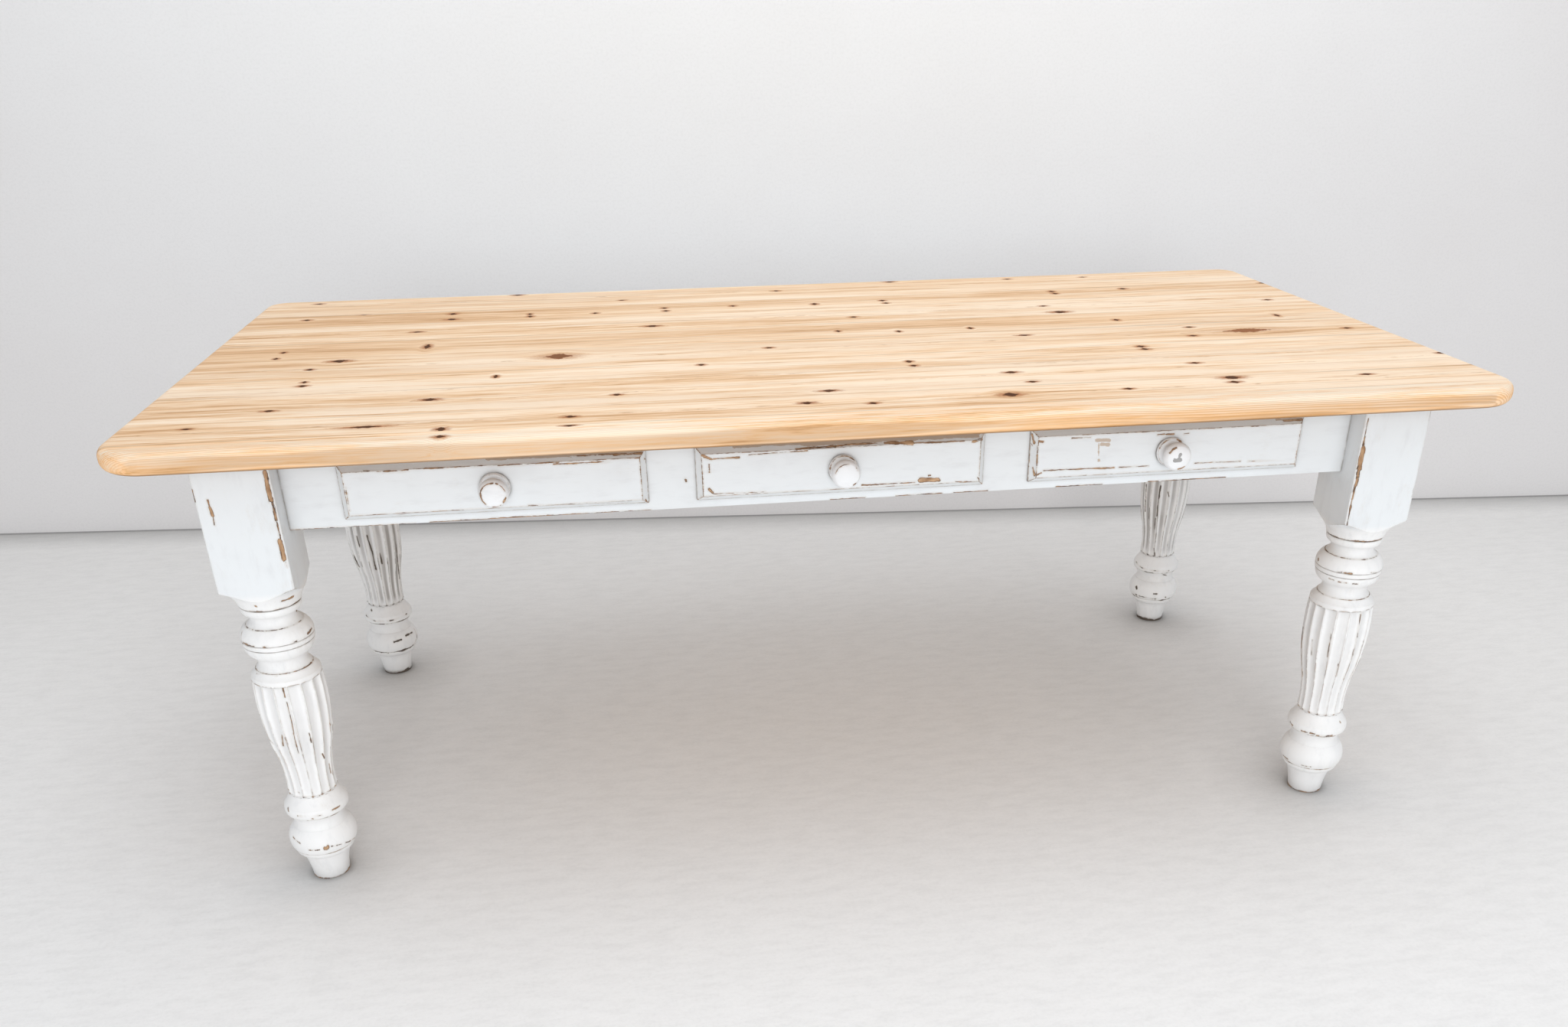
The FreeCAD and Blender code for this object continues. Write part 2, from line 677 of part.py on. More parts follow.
def upright_pieces():
    """Return each upright of the front frame: name, body, lower tenon and upper tenon."""
    outer = drawer_pitch + opening_half
    inner = drawer_pitch - opening_half
    y_low = upright_tenon_setback - apron_face_y
    y_tenon = (y_low, y_low + upright_tenon_thickness)
    pieces = []
    for name, low, high in (("front_left_stile", -rail_end_x, -outer),
                            ("front_left_muntin", -inner, -opening_half),
                            ("front_right_muntin", opening_half, inner),
                            ("front_right_stile", outer, rail_end_x)):
        x_tenon = (low + upright_shoulder, high - upright_shoulder)
        bar = Block((low, high), (-apron_face_y, -apron_inner_y), (opening_bottom, opening_top))
        lower = Block(x_tenon, y_tenon, (opening_bottom - upright_tenon_length, opening_bottom))
        upper = Block(x_tenon, y_tenon, (opening_top, opening_top + upright_tenon_length))
        pieces.append((name, bar, lower, upper))
    return pieces


def build_frame():
    """Build the aprons, the front frame and what carries the drawers."""
    uprights = upright_pieces()
    runner_low = opening_bottom - runner_height
    runners = [(name, carriage_piece(span, runner_low, runner_height), guide)
               for name, span, guide in carriage_spans()]
    kickers = [(name, carriage_piece(span, opening_top, kicker_height))
               for name, span, _ in carriage_spans()]
    low_front = [piece[1] for _, piece, _ in runners] + [lower for _, _, lower, _ in uprights]
    high_front = [piece[1] for _, piece in kickers] + [upper for _, _, _, upper in uprights]
    all_back = [piece[2] for _, piece, _ in runners] + [piece[2] for _, piece in kickers]
    low_span, high_span = tenon_blocks("rail")

    build_long_rail("front_bottom_rail", -1, (apron_bottom, opening_bottom), [low_span], low_front, None)
    build_long_rail("front_top_rail", -1, (opening_top, frame_top), [high_span], high_front, 0)
    build_long_rail("back_apron", 1, (apron_bottom, frame_top), tenon_blocks("apron"), all_back, 180)
    build_end_apron("left_apron", -1, 270)
    build_end_apron("right_apron", 1, 90)

    for name, *blocks in uprights:
        boxes = [make_box(f"{name}_{i}", block) for i, block in enumerate(blocks)]
        node(fuse(f"{name}_solid", boxes), name)
    for name, pieces, guide in runners:
        boxes = [make_box(f"{name}_runner_{i}", block) for i, block in enumerate(pieces)]
        node(fuse(f"{name}_runner_solid", boxes), f"{name}_runner")
        guide_z = (opening_bottom, opening_bottom + guide_height)
        bar = Block(guide, (-apron_inner_y, apron_inner_y), guide_z)
        node(make_box(f"{name}_guide_box", bar), f"{name}_guide")
    for name, pieces in kickers:
        boxes = [make_box(f"{name}_kicker_{i}", block) for i, block in enumerate(pieces)]
        node(fuse(f"{name}_kicker_solid", boxes), f"{name}_kicker")


# ---------------------------------------------------------------- drawers


def drawer_tails(name, centre, end):
    """Return the dovetails on the front end of one drawer side.

    Args:
        name: Prefix for the objects.
        centre: The drawer's middle in X.
        end: -1 for the left side, 1 for the right.
    """
    x_span = sorted([centre + inner_half * end, centre + box_half * end], key=lambda x: x.value)
    tails = []
    pitch = (box_top - box_bottom) / tail_count
    for i in range(int(tail_count.value)):
        middle = box_bottom + pitch * (i + 0.5)
        tip = (middle - tail_tip / 2, middle + tail_tip / 2)
        root = (middle - tail_root / 2, middle + tail_root / 2)
        tails.append(make_wedge(f"{name}_tail_{i}", x_span, (lip_plane, plug_plane), tip, x_span, root))
    return tails


def build_drawer_side(drawer, side_name, centre, end, tails):
    """Build one side of a drawer, with its tails, its groove and the housing for the back."""
    name = f"{drawer}_{side_name}_side"
    outer, inner = centre + box_half * end, centre + inner_half * end
    x_span = sorted([inner, outer], key=lambda x: x.value)
    panel = make_box(f"{name}_panel", Block(x_span, (plug_plane, drawer_end), (box_bottom, box_top)))
    solid = fuse(f"{name}_solid", [panel] + tails)
    groove_x = sorted([inner, inner + groove_depth * end], key=lambda x: x.value)
    housing_x = sorted([inner, inner + housing_depth * end], key=lambda x: x.value)
    groove = Block(groove_x, (groove_front, drawer_end), (bottom_low, bottom_high + groove_gap))
    housing = Block(housing_x, (back_face, back_rear), (bottom_high, box_top))
    holes = [make_box(f"{name}_groove", groove), make_box(f"{name}_housing", housing)]
    node(cut(f"{name}_cut", solid, holes), name)


def build_drawer_front(drawer, centre, tails):
    """Build a lipped front with its bevelled field, its plug and the hole for the knob."""
    lip_half = opening_half + lip_overlap
    lip_x = (centre - lip_half, centre + lip_half)
    lip_z = (opening_bottom - lip_overlap, opening_top + lip_overlap)
    field_x = (lip_x[0] + bevel_width, lip_x[1] - bevel_width)
    field_z = (lip_z[0] + bevel_width, lip_z[1] - bevel_width)
    lip = make_box(f"{drawer}_lip", Block(lip_x, (lip_plane - lip_edge, lip_plane), lip_z))
    bevel_y = (field_plane, lip_plane - lip_edge)
    bevel = make_wedge(f"{drawer}_bevel", field_x, bevel_y, field_z, lip_x, lip_z)
    plug = make_box(f"{drawer}_plug", Block((centre - box_half, centre + box_half),
                                            (lip_plane, plug_plane), (box_bottom, box_top)))
    solid = fuse(f"{drawer}_front_solid", [lip, bevel, plug])
    groove_half = inner_half + groove_depth
    groove = Block((centre - groove_half, centre + groove_half), (groove_front, plug_plane),
                   (bottom_low, bottom_high + groove_gap))
    hole = doc.addObject("Part::Cylinder", f"{drawer}_knob_hole")
    hole.setExpression("Radius", (spigot_radius + spigot_gap).text)
    hole.setExpression("Height", (plug_plane - field_plane).text)
    place(hole, centre, field_plane, knob_height(), Rotation(Vector(1, 0, 0), -90))
    holes = tails + [make_box(f"{drawer}_front_groove", groove), hole]
    node(cut(f"{drawer}_front_cut", solid, holes), f"{drawer}_front")


def knob_height():
    """Return the height of the knobs, half way up the drawer openings."""
    return opening_bottom + opening_height / 2


def build_knob():
    """Turn one knob about the Y axis, its collar at y = 0 and its face towards -Y."""
    body = make_body("knob_turning")
    outline = new_sketch(body, "knob_outline", "XY_Plane")
    neck_end = -(knob_base_height + knob_neck_length)
    head_end = neck_end - knob_head_length
    spigot_end = plug_plane - field_plane
    draw_path(outline, [
        (Size.of(0), spigot_end, None),
        (Size.of(0), head_end - knob_face_rise, -knob_face_rise / 4),
        (knob_face_radius, head_end, -knob_head_curve),
        (knob_radius, neck_end, knob_neck_curve),
        (knob_neck_radius, -knob_base_height - knob_hollow_length, knob_hollow_curve),
        (knob_base_radius, -knob_base_height, -knob_base_curve),
        (knob_base_radius, Size.of(0), None),
        (spigot_radius, Size.of(0), None),
        (spigot_radius, spigot_end, None),
    ])
    revolve(body, outline, "knob_revolution")
    return body


def build_drawers():
    """Build the three drawers with their knobs."""
    knob = build_knob()
    for drawer, centre in (("left_drawer", -drawer_pitch), ("centre_drawer", Size.of(0)),
                           ("right_drawer", drawer_pitch)):
        tails = []
        for side_name, end in (("left", -1), ("right", 1)):
            side_tails = drawer_tails(f"{drawer}_{side_name}", centre, end)
            build_drawer_side(drawer, side_name, centre, end, side_tails)
            tails += side_tails
        build_drawer_front(drawer, centre, tails)
        seat_half = inner_half + housing_depth
        back_x = (centre - seat_half, centre + seat_half)
        back = Block(back_x, (back_face, back_rear), (bottom_high, box_top))
        node(make_box(f"{drawer}_back_box", back), f"{drawer}_back")
        panel_half = inner_half + groove_depth - groove_gap
        panel = Block((centre - panel_half, centre + panel_half),
                      (groove_front + groove_gap, drawer_end), (bottom_low, bottom_high))
        node(make_box(f"{drawer}_bottom_box", panel), f"{drawer}_bottom")
        seated = place(group(f"{drawer}_knob_copy", [knob]), centre, field_plane, knob_height())
        node(seated, f"{drawer}_knob")


# ---------------------------------------------------------------- top and its fixings


def screw_places():
    """Return the x and y of each button screw."""
    spots = []
    for x, y, turn in button_places():
        if turn in (0, 180):
            spots.append((x, y + button_screw_setback if turn == 0 else y - button_screw_setback))
        else:
            spots.append((x + button_screw_setback if turn == 270 else x - button_screw_setback, y))
    return spots


def build_screw():
    """Turn one countersunk screw that points up, its head at z = 0."""
    body = make_body("screw_turning")
    outline = new_sketch(body, "screw_outline", "XZ_Plane")
    draw_path(outline, [
        (Size.of(0), Size.of(0), None),
        (screw_head_radius, Size.of(0), None),
        (screw_radius, screw_head_height, None),
        (screw_radius, screw_length - screw_tip_length, None),
        (Size.of(0), screw_length, None),
    ])
    revolve(body, outline, "screw_revolution")
    return body


def build_button():
    """Build one button: block over the origin, tongue towards -Y, upper face at z = 0."""
    half = button_width / 2
    block = make_box("button_block", Block((-half, half), (0, button_length), (-button_height, 0)))
    tongue_top = -tongue_drop
    tongue = make_box("button_tongue", Block((-half, half), (-tongue_length, 0),
                                             (tongue_top - tongue_height, tongue_top)))
    hole = doc.addObject("Part::Cylinder", "button_hole")
    hole.setExpression("Radius", (screw_radius + screw_gap).text)
    hole.setExpression("Height", button_height.text)
    place(hole, 0, button_screw_setback, -button_height)
    sink = doc.addObject("Part::Cone", "button_countersink")
    sink.setExpression("Radius1", (screw_head_radius + screw_gap).text)
    sink.setExpression("Radius2", (screw_radius + screw_gap).text)
    sink.setExpression("Height", screw_head_height.text)
    place(sink, 0, button_screw_setback, -button_height)
    return cut("button", fuse("button_solid", [block, tongue]), [hole, sink])


def build_fixings():
    """Place the buttons and screws that hold the top to the frame."""
    button = build_button()
    screw = build_screw()
    buttons = [place(group(f"button_{i}", [button]), x, y, frame_top, Rotation(Vector(0, 0, 1), turn))
               for i, (x, y, turn) in enumerate(button_places())]
    screws = [place(group(f"screw_{i}", [screw]), x, y, frame_top - button_height)
              for i, (x, y) in enumerate(screw_places())]
    node(group("all_buttons", buttons), "top_buttons")
    node(group("all_screws", screws), "button_screws")


def board_edges():
    """Return the Y of each joint between boards, from the back edge to the front."""
    edges = [half_width]
    for width in (board_1_width, board_2_width, board_3_width, board_4_width):
        edges.append(edges[-1] - width)
    from_front = [-half_width]
    for width in (board_9_width, board_8_width, board_7_width, board_6_width):
        from_front.append(from_front[-1] + width)
    return edges + from_front[::-1]


def build_top():
    """Round the edges of the top, bore its pilot holes and divide it into boards."""
    body = make_body("top_blank")
    plan = new_sketch(body, "top_plan", "XY_Plane")
    draw_rounded_rectangle(plan, half_length, half_width, front_corner_round, back_corner_round)
    pad = body.newObject("PartDesign::Pad", "top_slab")
    pad.Profile = plan
    pad.setExpression("Length", top_thickness.text)
    doc.recompute()
    level = [f"Face{i + 1}" for i, face in enumerate(pad.Shape.Faces) if abs(face.normalAt(0, 0).z) > 0.9]
    rounding = body.newObject("PartDesign::Fillet", "top_rounding")
    rounding.Base = (pad, level)
    rounding.Radius = edge_round.value
    rounding.setExpression("Radius", smaller(edge_round, (top_thickness - edge_flat) / 2).text)
    place(body, 0, 0, frame_top)

    holes = []
    for i, (x, y) in enumerate(screw_places()):
        hole = doc.addObject("Part::Cylinder", f"pilot_hole_{i}")
        hole.setExpression("Radius", (screw_radius + screw_gap).text)
        hole.setExpression("Height", (screw_length - button_height + screw_gap).text)
        holes.append(place(hole, x, y, frame_top))
    bored = cut("top_bored", body, holes)

    edges = board_edges()
    edges[0] = edges[0] + board_margin
    edges[-1] = edges[-1] - board_margin
    x_span = (-half_length - board_margin, half_length + board_margin)
    z_span = (frame_top - board_margin, table_height + board_margin)
    for i, (high, low) in enumerate(zip(edges, edges[1:])):
        slab = make_box(f"board_{i + 1}_slab", Block(x_span, (low, high), z_span))
        board = doc.addObject("Part::Common", f"board_{i + 1}_common")
        board.Base = bored
        board.Tool = slab
        node(board, f"top_board_{i + 1}")


# ---------------------------------------------------------------- build, check and write


def check():
    """Stop if any object failed or any piece isn't a valid solid."""
    failed = [item.Name for item in doc.Objects if "Invalid" in item.State or "Error" in item.State]
    if failed:
        raise RuntimeError(f"objects that failed to build: {failed}")
    for item in nodes:
        if item.Shape.isNull() or not item.Shape.isValid() or not item.Shape.Solids:
            raise RuntimeError(f"{item.Label} isn't a valid solid")


def write():
    """Write each piece to its own STEP file."""
    os.makedirs("parts", exist_ok=True)
    for item in nodes:
        item.Shape.exportStep(os.path.join("parts", f"{item.Label}.step"))


build_legs()
build_frame()
build_drawers()
build_fixings()
build_top()
doc.recompute()
check()
write()
print(f"{len(nodes)} pieces")
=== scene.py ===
"""Looks, light and camera for a kitchen table with drawers.

Everything is in metres in the table's own frame: +X along the top, -Y out of the drawers
and +Z up, with the origin on the floor under the middle of the top.
"""

from __future__ import annotations

import logging
import math
from dataclasses import dataclass, field, replace
from enum import Enum
from typing import Union

import bpy
from mathutils import Matrix, Vector


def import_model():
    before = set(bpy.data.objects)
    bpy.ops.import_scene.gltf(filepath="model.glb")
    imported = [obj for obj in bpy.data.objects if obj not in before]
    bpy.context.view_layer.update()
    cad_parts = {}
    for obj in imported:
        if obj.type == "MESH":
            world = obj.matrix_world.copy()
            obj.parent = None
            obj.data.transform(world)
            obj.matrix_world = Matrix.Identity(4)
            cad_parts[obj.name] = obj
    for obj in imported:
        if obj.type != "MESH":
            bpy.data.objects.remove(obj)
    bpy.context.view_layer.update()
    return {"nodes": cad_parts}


log = logging.getLogger("kitchen_table")

MM = 0.001
ALONG_X = (0.25, 1.0, 1.0)
COOL_WHITE = (0.988, 1.0, 1.018)
MIX_FIRST_COLOUR, MIX_SECOND_COLOUR, MIX_COLOUR_RESULT = 6, 7, 2
MEAN = 0.5
Colour = tuple[float, float, float]
Point = tuple[float, float, float]
Socket = bpy.types.NodeSocket
Fed = Union[Socket, float, Point]
Span = tuple[float, float]


# ---------------------------------------------------------------- node graphs


class Out(Enum):
    """The kinds of socket that a node group puts out or takes in."""

    VALUE = "NodeSocketFloat"
    VECTOR = "NodeSocketVector"
    COLOUR = "NodeSocketColor"


@dataclass(frozen=True)
class Pattern:
    """A noise pattern.

    Args:
        scale: How fast it changes, for each metre, by itself or along X, Y and Z.
        detail: Octaves.
        rough: How strong the finer octaves are.
    """

    scale: Union[float, Point]
    detail: float = 2.0
    rough: float = 0.5


@dataclass(frozen=True)
class Onset:
    """How an effect sets in as a value rises.

    Args:
        low: The value where it begins.
        high: The value where it is full, which may be the smaller of the two.
        gain: How much it gains between them.
        base: What it is before it begins.
        smooth: Whether it eases in and out.
    """

    low: float
    high: float
    gain: float = 1.0
    base: float = 0.0
    smooth: bool = True


@dataclass
class Graph:
    """A node tree with short methods for the nodes that the finishes use."""

    tree: bpy.types.NodeTree

    def node(self, kind: str, **settings: object) -> bpy.types.Node:
        """Add a node of one kind and set its properties."""
        made = self.tree.nodes.new(kind)
        for name, value in settings.items():
            setattr(made, name, value)
        return made

    def feed(self, socket: Socket, value: Fed) -> None:
        """Link a socket, or set a constant on it."""
        if isinstance(value, bpy.types.NodeSocket):
            self.tree.links.new(value, socket)
        elif isinstance(value, tuple) and len(value) == 3 and socket.type == "RGBA":
            socket.default_value = (*value, 1.0)
        else:
            socket.default_value = value

    def math(self, operation: str, *values: Fed, clamp: bool = False) -> Socket:
        """Return the result of a Math node.

        Args:
            operation: Blender's name for it, such as "MULTIPLY".
            values: One to three sockets or numbers.
            clamp: Whether the result is held between 0 and 1.
        """
        made = self.node("ShaderNodeMath", operation=operation, use_clamp=clamp)
        for socket, value in zip(made.inputs, values):
            self.feed(socket, value)
        return made.outputs[0]

    def vector(self, operation: str, *values: Fed) -> Socket:
        """Return the result of a Vector Math node, its length or dot product included."""
        made = self.node("ShaderNodeVectorMath", operation=operation)
        for socket, value in zip(made.inputs, values):
            self.feed(socket, value)
        return made.outputs["Value" if operation in ("LENGTH", "DOT_PRODUCT") else "Vector"]

    def split(self, vector: Socket) -> tuple[Socket, Socket, Socket]:
        """Return the three parts of a vector."""
        made = self.node("ShaderNodeSeparateXYZ")
        self.feed(made.inputs[0], vector)
        return made.outputs[0], made.outputs[1], made.outputs[2]

    def join(self, x: Fed, y: Fed, z: Fed) -> Socket:
        """Return a vector made of three parts."""
        made = self.node("ShaderNodeCombineXYZ")
        for socket, value in zip(made.inputs, (x, y, z)):
            self.feed(socket, value)
        return made.outputs[0]

    def ramp(self, value: Fed, low: Fed, high: Fed, smooth: bool = True) -> Socket:
        """Return 0 below low and 1 above high, with an even or a smooth rise between."""
        made = self.node("ShaderNodeMapRange", interpolation_type="SMOOTHSTEP" if smooth else "LINEAR")
        for name, given in (("Value", value), ("From Min", low), ("From Max", high)):
            self.feed(made.inputs[name], given)
        return made.outputs["Result"]

    def mix(self, share: Fed, first: Fed, second: Fed) -> Socket:
        """Return a blend of two colours."""
        made = self.node("ShaderNodeMix", data_type="RGBA")
        self.feed(made.inputs["Factor"], share)
        self.feed(made.inputs[MIX_FIRST_COLOUR], first)
        self.feed(made.inputs[MIX_SECOND_COLOUR], second)
        return made.outputs[MIX_COLOUR_RESULT]

    def blend(self, strength: float, share: Fed, first: Fed, second: Fed) -> Socket:
        """Return a blend of two colours that goes no further than a given strength."""
        return self.mix(self.math("MULTIPLY", share, strength), first, second)

    def noise(self, place: Socket, pattern: Pattern, scale: Fed = 0.0) -> Socket:
        """Return a Noise Texture's value, whose mean is near a half.

        Args:
            place: Where the pattern is read.
            pattern: Its scale, octaves and roughness.
            scale: Used in place of the pattern's own scale when it isn't 0.
        """
        made = self.node("ShaderNodeTexNoise")
        scale = scale or pattern.scale
        if isinstance(scale, tuple):
            place = self.vector("MULTIPLY", place, scale)
            scale = 1.0
        self.feed(made.inputs["Vector"], place)
        self.feed(made.inputs["Scale"], scale)
        made.inputs["Detail"].default_value = pattern.detail
        made.inputs["Roughness"].default_value = pattern.rough
        return made.outputs["Fac"]

    def vary(self, place: Socket, pattern: Pattern, swing: float, middle: float = 0.0) -> Socket:
        """Return a pattern that swings about a middle, with a full swing of the given size."""
        return self.math("MULTIPLY_ADD", self.noise(place, pattern), swing, middle - MEAN * swing)

    def onset(self, value: Fed, effect: Onset, plus: Union[Fed, None] = None) -> Socket:
        """Return how far an effect has set in.

        Args:
            value: What it depends on.
            effect: How it sets in.
            plus: What it is added to, in place of its own base.
        """
        risen = self.ramp(value, effect.low, effect.high, effect.smooth)
        base = effect.base if plus is None else plus
        if base:
            return self.math("MULTIPLY_ADD", risen, effect.gain, base)
        return risen if effect.gain == 1.0 else self.math("MULTIPLY", risen, effect.gain)

    def hidden(self, reach: float, samples: int = 6, **settings: bool) -> Socket:
        """Return how hidden a point is by what lies around it: 0 in the open, 1 deep inside.

        Args:
            reach: How far it looks, in metres.
            samples: Rays for each look.
            settings: Further settings of the Ambient Occlusion node.
        """
        made = self.node("ShaderNodeAmbientOcclusion", samples=samples, **settings)
        made.inputs["Distance"].default_value = reach
        return self.math("SUBTRACT", 1.0, made.outputs["AO"])

    def group(self, shared: bpy.types.NodeTree, **values: Fed) -> dict[str, Socket]:
        """Place a shared node group and return its outputs by name.

        Args:
            shared: The group.
            values: Its inputs, with underscores for spaces.
        """
        made = self.node("ShaderNodeGroup", node_tree=shared)
        for name, value in values.items():
            self.feed(made.inputs[name.replace("_", " ")], value)
        return {socket.name: socket for socket in made.outputs}

    def place(self) -> Socket:
        """Return the point of the surface in the table's frame, whatever the drawers do."""
        return self.node("ShaderNodeTexCoord").outputs["Object"]


@dataclass
class Shared:
    """One node group in the making: its sockets and its graph.

    Args:
        name: The group's name.
        takes: The names of its inputs by kind, with underscores for their spaces.
        gives: The names of its outputs, in the same way.

    The tree, the graph in it and the node that hands out its inputs are made with it.
    """

    name: str
    takes: dict[Out, str]
    gives: dict[Out, str]
    tree: bpy.types.NodeTree = field(init=False)
    graph: Graph = field(init=False)
    inside: bpy.types.Node = field(init=False)

    def __post_init__(self) -> None:
        """Make the group and its sockets."""
        self.tree = bpy.data.node_groups.new(self.name, "ShaderNodeTree")
        for in_out, sockets in (("INPUT", self.takes), ("OUTPUT", self.gives)):
            for name, kind in ((name, kind) for kind, names in sockets.items() for name in names.split()):
                self.tree.interface.new_socket(name.replace("_", " "), in_out=in_out,
                                               socket_type=kind.value)
        self.graph = Graph(self.tree)
        self.inside = self.graph.node("NodeGroupInput")

    def given(self, name: str) -> Socket:
        """Return one of the group's inputs, seen from inside."""
        return self.inside.outputs[name]

    def close(self, **results: Socket) -> bpy.types.NodeTree:
        """Link the results to the group's outputs and return the group."""
        end = self.graph.node("NodeGroupOutput")
        for name, value in results.items():
            self.graph.feed(end.inputs[name.replace("_", " ")], value)
        return self.tree


def smooth_mask(graph: Graph, distance: Socket, inner: float, outer: float) -> Socket:
    """Return 1 inside the inner distance, falling to 0 at the outer one."""
    return graph.math("SUBTRACT", 1.0, graph.ramp(distance, inner, outer))


# ---------------------------------------------------------------- shared effects

KNOT_TRAIL: Point = (0.42, 0.8, 1.0)
KNOT_HEART: Point = (1.0, 0.82, 1.0)
KNOT_TAIL: Point = (0.66, 1.6, 1.0)
KNOT_CORE: Span = (0.7, 1.05)
KNOT_HALO: Span = (0.5, 1.6)
KNOT_BEND_FALL = -0.12


def knot_group() -> bpy.types.NodeTree:
    """One knot of a board: it bends the grain round itself and darkens its middle.

    The running values come in and go out, so knots are placed one after another.
    """
    shared = Shared(
        "knot",
        {Out.VECTOR: "Place Centre Size", Out.VALUE: "Ragged Push Dark Bend Core Halo"},
        {Out.VALUE: "Bend Core Halo"},
    )
    g = shared.graph
    ragged, dark = shared.given("Ragged"), shared.given("Dark")
    away = g.vector("SUBTRACT", shared.given("Place"), shared.given("Centre"))
    scaled = g.vector("DIVIDE", away, shared.given("Size"))
    distance = g.vector("LENGTH", scaled)
    trail, heart, tail = (g.vector("LENGTH", g.vector("MULTIPLY", scaled, shape))
                          for shape in (KNOT_TRAIL, KNOT_HEART, KNOT_TAIL))
    core = smooth_mask(g, g.math("ADD", g.math("MINIMUM", heart, tail), ragged), *KNOT_CORE)
    halo = smooth_mask(g, g.math("ADD", trail, ragged), *KNOT_HALO)
    fall = g.math("EXPONENT", g.math("MULTIPLY", g.math("MULTIPLY", distance, distance), KNOT_BEND_FALL))
    _, side, _ = g.split(scaled)
    turned = g.math("MULTIPLY", g.math("MULTIPLY", fall, shared.given("Push")), side)
    halo = g.math("MULTIPLY", halo, g.math("MINIMUM", dark, 1.0))
    return shared.close(
        Bend=g.math("ADD", shared.given("Bend"), turned),
        Core=g.math("MAXIMUM", shared.given("Core"), g.math("MULTIPLY", core, dark)),
        Halo=g.math("MAXIMUM", shared.given("Halo"), halo),
    )


GRAIN_WANDER = Pattern((1.3, 2.2, 2.2))
WANDER_SWING = 0.036
RING_SHAKE = Pattern((3.0, 45.0, 45.0))
SHAKEN_RINGS = 1.1
RING_STRENGTH = Pattern((0.9, 26.0, 26.0), 1.0)
RINGS_SHOW = Onset(0.36, 0.62, smooth=False)
LATE_WOOD = Onset(0.25, 0.9)
LATE_WOOD_END = Onset(0.9, 1.0)
BANDS = Pattern((1.1, 15.0, 15.0), 3.0, 0.6)
STREAKS = Pattern((2.8, 62.0, 62.0), 4.0, 0.62)
LINES = Pattern((10.0, 230.0, 230.0), 4.0, 0.65)
FIBRES = Pattern((34.0, 1000.0, 1000.0))
BAND_WEIGHT = 2.0
STREAK_WEIGHT = 2.0
LINE_WEIGHT = 1.9
FIBRE_WEIGHT = 0.6
PALE_TONE = Onset(0.5, 0.0, smooth=False)
BROWN_TONE = Onset(0.5, 1.0, smooth=False)
LINE_IN_STREAK = 0.8
DARK_LINES = Onset(1.03, 1.22, 0.75)
FIBRE_RELIEF = 0.5
LATE_WOOD_RELIEF = -0.5


def grain_group() -> bpy.types.NodeTree:
    """Pine cut from a log that lies along X: broad bands, streaks, fine lines and growth rings.

    The bend of the knots moves every pattern sideways, so the grain flows round them.
    """
    shared = Shared(
        "pine_grain",
        {Out.VECTOR: "Place",
         Out.VALUE: "Bend Slope Pith_Y Pith_Z Ring_Width Ring_Share Contrast Fade Tone",
         Out.COLOUR: "Pale Tan Brown Late"},
        {Out.COLOUR: "Color", Out.VALUE: "Height"},
    )
    g = shared.graph
    x, y, z = g.split(shared.given("Place"))
    across = g.math("ADD", y, g.vary(shared.given("Place"), GRAIN_WANDER, WANDER_SWING))
    across = g.math("ADD", across, g.math("MULTIPLY", x, shared.given("Slope")))
    across = g.math("SUBTRACT", across, shared.given("Bend"))
    flow = g.join(x, across, z)
    reach = g.vector("LENGTH", g.join(0.0, g.math("SUBTRACT", across, shared.given("Pith Y")),
                                      g.math("SUBTRACT", z, shared.given("Pith Z"))))
    rings = g.math("DIVIDE", reach, shared.given("Ring Width"))
    rings = g.math("ADD", rings, g.math("MULTIPLY", g.noise(flow, RING_SHAKE), SHAKEN_RINGS))
    turn = g.math("FRACT", rings)
    ending = g.math("SUBTRACT", 1.0, g.onset(turn, LATE_WOOD_END))
    late = g.math("MULTIPLY", g.onset(turn, LATE_WOOD), ending)
    late = g.math("MULTIPLY", late, g.onset(g.noise(flow, RING_STRENGTH), RINGS_SHOW))
    band, streak, line, fibre = (g.noise(flow, pattern) for pattern in (BANDS, STREAKS, LINES, FIBRES))
    mixed = g.math("MULTIPLY", g.math("SUBTRACT", band, MEAN), BAND_WEIGHT)
    for pattern, weight in ((streak, STREAK_WEIGHT), (line, LINE_WEIGHT), (fibre, FIBRE_WEIGHT)):
        mixed = g.math("MULTIPLY_ADD", g.math("SUBTRACT", pattern, MEAN), weight, mixed)
    share = g.math("MULTIPLY_ADD", mixed, shared.given("Contrast"), shared.given("Tone"))
    share = g.math("SUBTRACT", share, g.math("MULTIPLY", x, shared.given("Fade")))
    ground = g.mix(g.onset(share, PALE_TONE), shared.given("Tan"), shared.given("Pale"))
    ground = g.mix(g.onset(share, BROWN_TONE), ground, shared.given("Brown"))
    lined = g.onset(g.math("MULTIPLY_ADD", line, LINE_IN_STREAK, streak), DARK_LINES)
    late = g.math("MULTIPLY", late, shared.given("Ring Share"))
    colour = g.mix(g.math("MAXIMUM", late, lined), ground, shared.given("Late"))
    height = g.math("MULTIPLY_ADD", fibre, FIBRE_RELIEF, g.math("MULTIPLY", late, LATE_WOOD_RELIEF))
    return shared.close(Color=colour, Height=height)


SOFT_LINE: Span = (0.15, 1.0)
JOINT_SWELL = Pattern((2.1, 9.0, 0.0))
SWOLLEN = Onset(0.3, 0.7)
LEAST_JOINT = 0.0004
JOINT_STRENGTH = Pattern((1.4, 6.0, 0.0))
STRONG_JOINT = Onset(0.3, 0.62, 0.75, 0.25)


